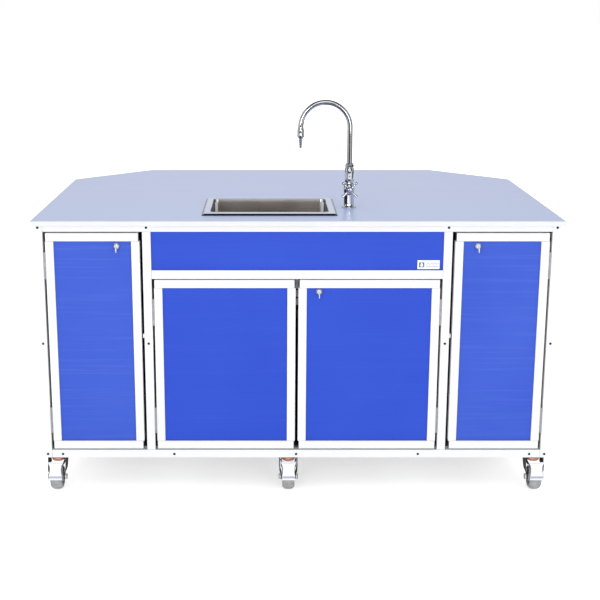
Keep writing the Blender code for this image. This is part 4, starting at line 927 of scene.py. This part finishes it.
# ---------------------------------------------------------------- sink
def sink():
    """The pressed basin with painted highlights on its rear inner corners and painted shade on its side
    walls, the strainer and its tail pipe.
    """
    top, under, floor = COUNTER_TOP + 0.0062, COUNTER_TOP + GAP, BOWL_FLOOR

    def rim(shrink, z):
        return rounded(SINK_X, RIM_Y, RIM_W - 2 * shrink, RIM_D - 2 * shrink, 0.006, z, 10)

    def bowl(base, *values):
        return [rounded(SINK_X, BOWL_Y, BOWL_W - 2 * shrink, BOWL_D - 2 * shrink, radius, base + z, 10)
            for shrink, z, radius in table(3, values)]

    def hole(radius, z):
        return rounded(SINK_X, BOWL_Y, 2 * radius, 2 * radius, radius * 0.999, z, 10)

    basin = Piece("sink_shell", "cabinet", "stainless", "stainless", "stainless_painted_glint", "stainless_painted_shade")
    outside = [rim(s, under + z) for s, z in mm(0, 0, 0, 0.3, 0.2, 0.5)]
    outside += [rim(s, top + z) for s, z in mm(7.8, -0.3, 8.4, 0, 10.4, 0)]
    inside = bowl(top, -3.8, 0, 21.5, -1.8, -0.4, 20, -0.5, -1.4, 18.8, 0, -3.2, 18, 1, -12, 18)
    inside += bowl(floor, 3.6, 30, 22, 4.6, 20, 23.5, 7.2, 11.5, 26, 11.4, 5.2, 29, 16.8, 1.5, 32.5,
        23.5, 0, 36, 70, -0.7, 50)
    bottom = [hole(r, floor + z) for r, z in mm(44, -1.1, 42.5, -2, 35, -2, 35, -3.4, 44, -2.6)]
    back = bowl(floor, 23.5, -1.4, 36, 10, 4, 30, 3, 20, 24) + bowl(top, -1.4, -10, 19, -2.4, -1.4, 20)
    back += [rim(0.0115, top - 0.0014), rim(0.001, under)]
    basin.loft(outside + inside + bottom + back, closed=True)
    # Painted highlight: faces on the rear inner corners take the near-white glint steel (1).
    for face in basin.bm.faces:
        middle = face.calc_center_median()
        aside = abs(middle.x - SINK_X) - BOWL_W / 2
        behind = middle.y - BOWL_Y - BOWL_D / 2
        if -0.0165 < aside < -0.007 and -0.014 < behind < 0.0 and floor + 0.004 < middle.z < top - 0.001:
            face.material_index = 1
        # Painted shade: faces on the side walls take the near-black steel (2).
        elif abs(aside) < 0.0062 and behind < -0.006 and floor + 0.03 < middle.z < top - 0.0032:
            face.material_index = 2
    basin.done("sink_basin")

    at = Vector((SINK_X, BOWL_Y, floor - 0.002))
    tail = TAIL_BOTTOM - at.z
    drain = Piece("sink_strainer", "cabinet", "stainless", "chrome")
    profile = mm(0.3, 40.8, 1, 41, 1.7, 40, 1.9, 38, 1.4, 34.5, -1, 32.2, -6, 31.2, -9.5, 29, -10, 23,
        -10, 22, -30, 16)
    profile += [(tail, 0.016), (tail, 0.019)] + mm(-32, 19, -30, 25, -16, 33, 0.2, 33)
    drain.turned(at, Z, profile, 64, closed=True)
    drain.turned(at, Z, mm(-6, 30.5, -5, 30.8, -4.6, 29, -5.6, 28), 64, closed=True)
    grid = at - Z * 0.0054
    for i in range(12):
        a = 2 * math.pi * i / 12
        d = Vector((math.cos(a), math.sin(a), 0))
        drain.tube([grid + d * 0.006, grid + d * 0.015, grid + d * 0.0295], 0.001, 8)
    for r in (0.0135, 0.0215):
        square = [(-1, -1), (-1, 1), (1, 1), (1, -1)]
        drain.turned(grid, Z, [(0.0008 * s, r + 0.0008 * out) for s, out in square], 48, closed=True)
    drain.turned(at, Z, mm(-7, 7.5, -4.5, 7.5, -2, 3, 1, 2.8, 2.4, 5, 4, 5.2, 4.8, 3.6), 32)
    drain.turned((SINK_X, BOWL_Y, TAIL_BOTTOM + 0.01), Z, mm(0, 19.1, 0, 22.5, 1, 23.5, 11, 23.5, 12, 22.5,
        12, 19.1), 48, closed=True, shape=lambda a: 1.0 + 0.02 * (1 if math.sin(12 * a) > 0 else 0))
    drain.done("sink_drain")


# ---------------------------------------------------------------- faucet
def faucet():
    """The column with its valve and vacuum breaker, the cross handle, and the gooseneck and hose tip."""
    x, y, z = FAUCET
    body = Piece("faucet_column", "cabinet", "chrome", "chrome", "chrome_painted_highlight", "fork_steel")
    body.turned(FAUCET, Z, mm(-60, 8.5, -59, 9.5, 0.4, 9.5, 0.4, 23.2, 0.8, 23.9, 2.4, 24, 3.6, 23.2,
        4.4, 20, 5.4, 18.4, 7.5, 17.6, 12, 17.2, 38, 17, 43, 17.2, 44.6, 18, 47, 18, 48.6, 16.8, 50, 16,
        52, 17.2, 56, 18.4, 62, 18.8, 70, 18.6, 76, 17.6, 80, 16, 82, 14, 83.6, 12.2, 86.2, 12, 87, 13.2,
        88.4, 15.6, 90, 16, 99, 16, 100, 15.2, 101.2, 15.2, 102.2, 16, 124, 16, 125, 15.2, 126.2, 15.2,
        127.2, 15.8, 133, 15.6, 136.6, 14.2, 139, 12.8, 140, 12.2), 64)
    body.turned(FAUCET, Z, mm(139.8, 12, 140.2, 14.3, 141, 14.8, 147.4, 14.8, 148.4, 14.2, 149, 11), 48,
        shape=hexagon)
    hub = Vector((x, y, z + 0.065))
    body.turned(hub, -Y, mm(8, 12.8, 15, 12.8, 16.2, 13.4, 18.2, 13.4, 19.4, 12, 20, 10.2, 27.2, 10,
        27.8, 9.4), 48)
    for k in range(4):
        a = k * math.pi / 2
        d = Vector((math.sin(a), -math.cos(a), 0))
        # The caps and the front plate take the painted-highlight chrome (1).
        body.turned(Vector((x, y, z + 0.13)) + d * 0.014, d, mm(0, 4.8, 1.8, 4.8, 2.4, 4), 24, mat=1)
        middle = Vector((x, y, z + 0.109))
        for half_w, half_h, out, mat in ((0.0058, 0.0098, 0.0166, 1), (0.003, 0.0007, 0.017, 2),
                (0.0007, 0.003, 0.017, 2)):
            half = d.cross(Z) * half_w + Z * half_h
            body.box(middle + d * 0.013 - half, middle + d * out + half, SHEET_EDGE, mat=mat)
    body.done("faucet_body")

    handle = Piece("faucet_cross", "faucet_handle", "chrome", "chrome", "stainless")
    centre = hub - Y * 0.036
    handle.turned(centre, -Y, mm(-7.7, 9.5, -7.4, 10.6, -6, 11, 3, 11, 5.2, 10.4, 6.4, 8.8, 6.4, 7.2), 48)
    handle.turned(centre, -Y, mm(6, 7, 7.2, 7, 8.2, 6, 8.6, 4, 8.8, 0.4), 40, mat=1)
    for k in range(4):
        a = math.pi / 4 + k * math.pi / 2
        arm = Vector((math.cos(a), 0, math.sin(a)))
        handle.turned(centre, arm, mm(7, 5, 10.5, 4.4, 15, 3.6, 21, 3.2, 26.2, 3.4, 29, 4.2, 31.8, 4.7,
            34.2, 4.5, 35.6, 3.6, 36.2, 1.8), 24)
    handle.done("faucet_handle")

    spout = Piece("faucet_gooseneck", "faucet_spout", "chrome")
    big = 0.0845
    bend_x, centre_z = x - big, z + 0.276
    path = [(x, y, z + 0.1493), (x, y, z + 0.2), (x, y, z + 0.24)]
    path += [(bend_x + big * math.cos(a), y, centre_z + big * math.sin(a)) for a in arc(0, 1, 48)]
    path += [(bend_x - big, y, centre_z - 0.004)]
    spout.tube(path, 0.00875, 40)
    spout.turned((x, y, z + 0.1493), Z, mm(0, 9.5, 0, 11.8, 0.6, 12.2, 3.4, 12.2, 4.2, 11.2, 4.6, 9.5), 48)
    mouth = Vector((bend_x - big, y, centre_z))
    spout.turned(mouth, -Z, mm(0, 9.2, 3, 9.4, 6, 10.4, 8.5, 11, 18, 11.2, 19, 10.8, 20, 10.8, 21, 11.2,
        32, 11.1, 34.6, 10.4, 36.2, 8.8, 37.2, 7), 48)
    tip = []
    for i in range(5):
        start = 0.0372 + i * 0.0068
        wide = 0.0069 - i * 0.0005
        tip += [(start, wide - 0.0016), (start + 0.0002, wide), (start + 0.0018, wide),
            (start + 0.0056, wide - 0.0012), (start + 0.0064, wide - 0.0018)]
    spout.turned(mouth, -Z, [(0.036, 0.0045)] + tip + mm(71.5, 2.6, 71.5, 1.8, 66, 1.6), 40)
    spout.done("faucet_spout")


# ---------------------------------------------------------------- water system
TANK_Y, TANK_DEPTH = FRONT + 0.27, 0.34
FRESH_X, FRESH_HEIGHT = 0.3, 0.38
WASTE_X, WASTE_HEIGHT = -0.245, 0.4
FLOOR_TOP = BOX["floor_panel"][1].z
PUMP = Vector((0.045, FRONT + 0.4, FLOOR_TOP + GAP))
PORT_Y = PUMP.y + 0.05
PORT_Z = PUMP.z + 0.075


def tank(name, x, width, height, slot, cap_material, port):
    """A blow-moulded jug with ribbed walls, a carrying handle, a neck and a knurled cap."""
    bottom = FLOOR_TOP + GAP
    jug = Piece(name + "_jug", "cabinet", slot)
    rows = table(3, (20, 20, 0, 10, 6, 1.5, 4, 2, 4, 0, 0, 10))
    for share in (0.2, 0.4, 0.6):
        rows += [(a, a, height * share + dz) for a, dz in mm(0, -14, 2.5, -9, 4, 0, 2.5, 9, 0, 14)]
    rows += [(a, a, height - dz) for a, dz in mm(0, 52, 4, 36, 12, 22, 24, 10, 38, 3, 52, 0)]
    jug.loft([rounded(x, TANK_Y, width - 2 * a, TANK_DEPTH - 2 * b, max(0.02, 0.036 - 0.3 * a), bottom + z)
        for a, b, z in rows])
    top = bottom + height
    jug.turned((x, TANK_Y, top - 0.004), Z, mm(0, 30, 8, 30, 9, 32.5, 11, 32.5, 12, 29.5, 20, 29.5), 48)
    handle = mm(125, -20, 118, 12, 95, 26, 70, 26, 50, 12, 46, -10)
    grip = [(x, TANK_Y - ahead, top + up) for ahead, up in handle]
    jug.tube(curve_through(grip), 0.0105, 20)
    jug.done(name)
    cap = Piece(name + "_cap", "cabinet", None, cap_material)
    profile = mm(0, 33.8, 1, 34.5, 16, 34.3, 18.5, 32.5, 19, 29)
    profile += [(s, port + r) for s, r in mm(19, 4, 24, 3, 33.5, 1, 34, 0)]
    cap.turned((x, TANK_Y, top + 0.014), Z, profile, 144, shape=lambda a: 1.0 - 0.035
        * (0.5 + 0.5 * math.cos(36 * a)) ** 3)
    cap.done()


def pump():
    """Demand pump: ribbed motor, head with its screws, pressure switch, feet and two barbed ports."""
    x, y, z = PUMP
    dark = Piece("pump_housing", "cabinet", "black_plastic")
    dark.box((x - 0.05, y - 0.095, z), (x + 0.05, y + 0.095, z + 0.006), 0.0015)
    axis = Vector((x, y - 0.085, z + 0.052))
    rows = mm(0, 34, 1.5, 37.5, 6, 40.5)
    for i in range(9):
        s = 0.012 + i * 0.009
        rows += [(s, 0.0392), (s + 0.0006, 0.041), (s + 0.005, 0.041), (s + 0.0056, 0.0392)]
    dark.turned(axis, Y, rows + mm(97, 39.2, 100, 37), 64)
    dark.box((x - 0.046, y + 0.012, z + 0.004), (x + 0.046, y + 0.05, z + 0.098), 0.005, segments=3)
    dark.box((x - 0.044, y + 0.0515, z + 0.006), (x + 0.044, y + 0.085, z + 0.096), 0.006, segments=3)
    dark.box((x - 0.025, y - 0.07, z + 0.004), (x + 0.025, y, z + 0.02), 0.002)
    dark.box((x - 0.014, y + 0.02, z + 0.097), (x + 0.014, y + 0.052, z + 0.112), 0.003, segments=3)
    for side in (-1, 1):
        at = (x + side * 0.0455, PORT_Y, PORT_Z)
        dark.turned(at, (side, 0, 0), mm(-2, 12, 4, 12, 5, 7.8, 19.5, 7.8), 32)
    dark.done("water_pump")
    metal = Piece("pump_screws", "cabinet", "zinc")
    for dx in (-0.036, 0.036):
        for dz in (0.014, 0.088):
            metal.screw((x + dx, y + 0.085, z + dz), Y, 0.0034, 0.0016)
        for dy in (-0.084, 0.084):
            metal.screw((x + dx * 1.15, y + dy, z + 0.006), Z, 0.004, 0.0018)
    metal.done()


def clamp(piece, centre, direction, radius):
    """A worm-drive band with its housing and screw."""
    along = Vector(direction).normalized()
    piece.turned(centre, along, [(-0.0045, radius), (-0.0045, radius + 0.0008), (0.0045, radius + 0.0008),
        (0.0045, radius)], 40, closed=True)
    side, up = across(along)
    at = Vector(centre) + side * (radius + 0.003)
    piece.turned(at - up * 0.0065, up, mm(0, 3, 0.5, 3.6, 11, 3.6, 11.5, 3), 16)
    piece.turned(at + up * 0.005, up, mm(0, 2.6, 3, 3, 4.2, 2.4), 6)


def water_system():
    """Two tanks, the pump, the hoses between them and the clamps on the hose ends."""
    tank("fresh_water_tank", FRESH_X, 0.25, FRESH_HEIGHT, "tank_plastic", "cap_blue", 0.008)
    tank("waste_water_tank", WASTE_X, 0.27, WASTE_HEIGHT, "waste_plastic", "cap_red", 0.019)
    pump()
    fresh, waste = (FLOOR_TOP + GAP + height + 0.048 for height in (FRESH_HEIGHT, WASTE_HEIGHT))
    px, end, hose_r, drain_r = PUMP.x, 0.0653, 0.008, 0.019
    shank = COUNTER_TOP - 0.06
    clamps = Piece("hose_clamps", "cabinet", "zinc")
    suction = [(FRESH_X, TANK_Y, fresh + GAP), (FRESH_X, TANK_Y, fresh + 0.03),
        (0.26, TANK_Y + 0.04, fresh + 0.085), (px + 0.11, TANK_Y + 0.15, fresh - 0.02),
        (px + 0.105, PORT_Y + 0.01, PORT_Z + 0.14), (px + 0.105, PORT_Y, PORT_Z + 0.025),
        (px + 0.082, PORT_Y, PORT_Z), (px + end, PORT_Y, PORT_Z)]
    supply = [(px - end, PORT_Y, PORT_Z), (px - 0.08, PORT_Y, PORT_Z), (px - 0.098, PORT_Y, PORT_Z + 0.03),
        (px - 0.075, PORT_Y + 0.02, PORT_Z + 0.16), (px + 0.01, PORT_Y + 0.015, 0.64),
        (px + 0.1, PORT_Y - 0.08, 0.78), (FAUCET.x, FAUCET.y + 0.01, 0.85),
        (FAUCET.x, FAUCET.y, shank - 0.025), (FAUCET.x, FAUCET.y, shank - GAP)]
    for name, route in (("suction_hose", suction), ("supply_hose", supply)):
        piece = Piece(name + "_tube", "cabinet", "hose_clear")
        piece.tube(curve_through(route, 10), hose_r, 24)
        piece.done(name)
        for a, b in ((route[0], route[1]), (route[-1], route[-2])):
            direction = (Vector(b) - Vector(a)).normalized()
            clamp(clamps, Vector(a) + direction * 0.008, direction, hose_r)
    drain = [(SINK_X, BOWL_Y, TAIL_BOTTOM - GAP), (SINK_X, BOWL_Y, TAIL_BOTTOM - 0.025),
        (SINK_X - 0.045, BOWL_Y, TAIL_BOTTOM - 0.062), (-0.215, TANK_Y, waste + 0.052),
        (WASTE_X, TANK_Y, waste + 0.02), (WASTE_X, TANK_Y, waste + GAP)]
    corrugated = Piece("drain_hose_tube", "cabinet", "hose_grey")
    depth, pitch = 0.0009, 0.0062
    corrugated.tube(curve_through(drain, 24), lambda s: 0.0181 + depth * math.cos(2 * math.pi * s / pitch),
        28)
    corrugated.done("drain_hose")
    clamp(clamps, (SINK_X, BOWL_Y, TAIL_BOTTOM - 0.008), -Z, drain_r)
    clamp(clamps, (WASTE_X, TANK_Y, waste + 0.008), Z, drain_r)
    clamps.done()


def power_inlet():
    """Appliance inlet: rounded flange, open socket with three blades, two screws."""
    x, z = 0.3, 0.23
    face = REAR + 0.0046
    part = Piece("inlet_housing", "cabinet", "black_plastic")
    rows = table(4, (23.8, 15.8, 3, -30, 23.8, 15.8, 3, 0, 33.6, 21.6, 5, 0, 34, 22, 5, 0.6, 34, 22, 5, 2.2,
        33, 21, 4, 3, 13.6, 9.6, 2, 3, 13, 9, 2, 2.4, 13, 9, 2, -17))
    part.loft([[Vector((p.x, face + out, p.y)) for p in rounded(x, z, 2 * half_w, 2 * half_h, radius, 0, 5)]
        for half_w, half_h, radius, out in rows])
    part.done("power_inlet")
    metal = Piece("inlet_contacts", "cabinet", "zinc")
    for dx, dz in ((-0.007, -0.003), (0.007, -0.003), (0.0, 0.003)):
        metal.box((x + dx - 0.0008, face - 0.0172, z + dz - 0.002),
            (x + dx + 0.0008, face - 0.003, z + dz + 0.002), SHEET_EDGE)
    for sign in (-1, 1):
        metal.screw((x + sign * 0.027, face + 0.003, z), Y, 0.003, 0.001)
    metal.done()


# ---------------------------------------------------------------- casters
def caster_plate(name, x, y):
    """Top plate, the copper raceway under it and four bolts."""
    top = FRAME_BOTTOM - GAP
    plate = Piece(name + "_plate_top", "cabinet", "copper")
    plate.loft([rounded(x, y, 0.067 - shrink, 0.09 - shrink, 0.007, top - down, 5)
        for shrink, down in mm(0.8, 3.5, 0, 3.1, 0, 0.4, 0.6, 0)], smooth=False)
    bottom = top - 0.0033
    drop = bottom - RACEWAY_BOTTOM
    raceway = mm(0, 26.2, 1, 27.4, 2.6, 28) + [(drop - s, r) for s,
        r in mm(3.6, 28, 1.6, 27.4, 0.4, 25.8, 0, 23.8)]
    plate.turned((x, y, bottom), -Z, raceway, 64)
    plate.done(name + "_plate")
    bolts = Piece(name + "_bolts", "cabinet", "zinc")
    for dx in (-0.0245, 0.0245):
        for dy in (-0.035, 0.035):
            at = (x + dx, y + dy, top - 0.0034)
            bolts.turned(at, -Z, mm(0, 6.2, 0.8, 6.2), 24)
            bolts.turned(at, -Z, mm(0.6, 5, 4, 5, 4.6, 4.4), 24, shape=hexagon)
    bolts.done()


def caster_fork(name, x, y, forward):
    """Crown, stepped side plates with a pressed rib, copper kingpin dish, and the axle with its nuts."""
    body = name + "_fork"
    top = RACEWAY_BOTTOM - 2 * GAP
    axle = Vector((x, y + forward * TRAIL, WHEEL_R))
    fork = Piece(body + "_yoke", body, "zinc", "fork_steel")
    # Each row is one level of a side plate: half the fork's width, height, back edge and front edge.
    rows = table(4, (30.5, 112.9, -25, 33.5, 30.5, 105, -20, 35.5, 30.5, 90, -11, 39.5, 30.4, 76, -1, 44,
        29.8, 69, 4.5, 45.2, 28.2, 63.5, 8.5, 45.6, 26.2, 59, 12, 45.6, 24.6, 55.2, 15.5, 45.2,
        24, 51.5, 19, 44.8, 24, 44.5, 21.4, 44.6, 24, 37, 24, 42, 24, 33.3, 29.5, 36.5))
    ease, half_thick = 0.0006, 0.0014
    for side in (-1, 1):
        loops = []
        for half, z, back, front in rows:
            inner, outer = x + side * (half - half_thick), x + side * (half + half_thick)
            outline = ((inner, back + ease), (inner, front - ease), (inner + side * ease, front),
                (outer - side * ease, front), (outer, front - ease), (outer, back + ease),
                (outer - side * ease, back), (inner + side * ease, back))
            loops.append([Vector((px, y + forward * py, z)) for px, py in outline])
        fork.loft(loops)
        rib = [(x + side * 0.0311, y + forward * py, z) for py, z in mm(6, 106, 13, 92, 22, 76)]
        fork.tube(curve_through(rib, 5), 0.0017, 12)
    fork.box((x - 0.0312, y - forward * 0.0256, top - 0.0045), (x + 0.0312, y + forward * 0.0236, top),
        0.001)
    fork.turned((x, y, top - 0.0004), Z, mm(0, 26.2, 0.4, 26.2), 48)
    fork.done(body)
    dish = Piece(body + "_dish", body, "copper")
    dish.turned((x, y, top - 0.0042), -Z, mm(0, 24.5, 0.4, 25.8, 2.4, 26.4, 3.6, 25.6, 5.6, 23.3, 9.5, 22.4,
        12.5, 21, 14, 18.8, 14.6, 15, 14, 11, 13.8, 8), 56)
    dish.turned((x, y, top - 0.0178), -Z, mm(0, 6.8, 2.2, 6.8, 2.8, 5.8), 24, shape=hexagon)
    dish.done()
    pins = Piece(body + "_axle", body, "pedal_white", "pedal_white", "black_plastic")
    for side in (-1, 1):
        at = axle + X * side * 0.025
        for start in (0.0, 0.0068):
            pins.turned(at, (side, 0, 0), [(start + s, r) for s, r in mm(0, 9, 0.4, 9.8, 1.2, 9.8, 1.6, 9)],
                36, mat=1)
        pins.turned(at, (side, 0, 0), mm(1.4, 8.8, 1.8, 9.2, 7.2, 9.1, 8.2, 8.4, 8.7, 7, 8.9, 4, 8.9, 0.6),
            36)
    pins.turned(axle - X * 0.025, X, mm(0, 5.8, 50, 5.8), 32)
    pins.done()


def caster_wheel(name, x, y, forward):
    """A crowned rubber wheel, and on each side the hub's dark ring and six spokes."""
    body = name + "_wheel"
    centre = (x, y + forward * TRAIL, WHEEL_R)
    half = mm(19.8, 9, 21.2, 9.6, 21.4, 15, 20.6, 16.2, 17.6, 17.2, 16.8, 19.5, 16.8, 26.5, 17.8, 29,
        20, 30.5, 21, 32.2, 21, 33.8, 20.2, 36.4, 18, 39.2, 14.8, 41.6, 11.4, 43.2, 9, 44.1, 8.6, 43.7,
        8, 43.7, 7.6, 44.2, 4, 44.4)
    wheel = Piece(body + "_tyre", body, "wheel_rubber")
    half.insert(0, (0.0198, 0.0064))
    profile = [(-s, r) for s, r in half] + [(0.0, WHEEL_R)] + half[::-1]
    wheel.turned(centre, X, profile, 72, closed=True)
    wheel.done(body)
    hub = Piece(body + "_hub", body, None, "plug_grey")
    for side in (-1, 1):
        direction = (side, 0, 0)
        hub.turned(centre, direction, mm(16.6, 18, 17.6, 18.4, 18, 26.2, 17, 26.8), 48, closed=True)
        for k in range(6):
            a = 2 * math.pi * k / 6
            d = Vector((0, math.cos(a), math.sin(a)))
            start = Vector(centre) + Vector(direction) * 0.0178
            hub.tube([start + d * 0.015, start + d * 0.022, start + d * 0.03], 0.0018, 10)
    hub.done()


def brake_pedal(name, x, y, forward):
    """Moulded pedal: a brow, a waisted plate, a crease over the foot bar, two cheeks and their pivots."""
    body = name + "_brake"
    pedal = Piece(body + "_pedal", body, "pedal_white", "pedal_white", "fork_steel", "crease_painted_shade")
    rows = table(3, (62.2, 104, 24.6, 64.2, 105.6, 25.2, 66.4, 106, 25.3, 68, 105, 25, 69.4, 102, 23.8,
        70.6, 98.5, 21.6, 72.2, 94.5, 20, 74.6, 88.5, 19.5, 77.8, 81, 19.5, 80.8, 74.5, 20.2,
        83, 69.5, 21.6, 84.2, 66.8, 22.5, 84.8, 65.5, 23.1, 84.9, 64.8, 23.2, 82.6, 64.4, 23.3,
        82.6, 57.2, 23.4, 85.4, 56.8, 23.6, 85.8, 56.2, 23.8, 86, 53, 23.8, 85.6, 50.8, 23.6,
        84.6, 50.1, 23.2))
    loops, ease, thick = [], 0.001, 0.0026
    for i, (ahead, z, half) in enumerate(rows):
        before, after = rows[max(i - 2, 0)], rows[min(i + 2, len(rows) - 1)]
        slope = Vector((after[0] - before[0], after[1] - before[1])).normalized()
        inward = Vector((slope.y, -slope.x))
        if inward.x > 0:
            inward = -inward
        outline = ((-half + ease, 0), (half - ease, 0), (half - 0.3 * ease, 0.2), (half, 0.6), (half, 1),
            (-half, 1), (-half, 0.6), (-half + 0.3 * ease, 0.2))
        loops.append([Vector((x + sx, y + forward * (ahead + inward.x * t * thick),
            z + inward.y * t * thick)) for sx, t in outline])
    pedal.loft(loops)
    cheek = mm(6.2, 92.5, 8, 90.7, 40, 90.7, 71.2, 92.5, 69.8, 99, 66.4, 102, 30, 102.2, 8, 102.2, 6.2, 101)
    for side in (-1, 1):
        low, high = x + side * 0.023, x + side * 0.0254
        pedal.prism([(y + forward * ahead, z) for ahead, z in cheek], "X", low, high, 0.0006, mat=1)
    low, high = sorted((y + forward * 0.0815, y + forward * 0.085))
    # Painted shade: a blue-grey strip set in the crease over the foot bar.
    pedal.box((x - 0.023, low, 0.0566), (x + 0.023, high, 0.065), 0.0006, mat=2)
    pedal.done(body)
    pins = Piece(body + "_pins", body, "pedal_white", "pedal_white", "black_plastic")
    for side in (-1, 1):
        for ahead in (0.012, 0.062):
            at = Vector((x + side * 0.0252, y + forward * ahead, 0.0975))
            pins.turned(at, (side, 0, 0), mm(0, 4.6, 0.6, 4.8, 1.2, 4.8, 1.4, 4.4), 28, mat=1)
            pins.turned(at, (side, 0, 0), mm(1, 3.6, 2, 3.6, 2.6, 2.8, 2.8, 0.8), 24)
    pins.done()


def casters():
    """Six casters; the front three have a brake pedal."""
    for row, y, forward in (("front", FRONT_CASTER_Y, -1), ("rear", REAR_CASTER_Y, 1)):
        for place, x in CASTER_X.items():
            name = f"{row}_{place}_caster"
            caster_plate(name, x, y)
            caster_fork(name, x, y, forward)
            caster_wheel(name, x, y, forward)
            if row == "front":
                brake_pedal(name, x, y, forward)


# ---------------------------------------------------------------- kept CAD panels
def kept_nodes():
    """Materials for the panels, which are shown as the CAD's own nodes."""
    for name in ("apron_panel", "rear_panel", "middle_left_door_panel", "middle_right_door_panel"):
        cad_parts[name].material_slots[0].material = MATERIALS["panel_blue"]
    # The side doors and side panels take the lighter copy of the panel blue: painted sheen.
    for name in ("left_side_panel", "right_side_panel", "left_door_panel", "right_door_panel"):
        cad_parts[name].material_slots[0].material = MATERIALS["panel_blue_painted_sheen"]
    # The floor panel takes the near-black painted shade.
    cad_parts["floor_panel"].material_slots[0].material = MATERIALS["floor_panel_painted_shade"]


stage()
frame_bars()
frame_screws()
doors()
catches()
label()
counter()
leaf_hinges()
leaf_supports()
sink()
faucet()
water_system()
power_inlet()
casters()
kept_nodes()
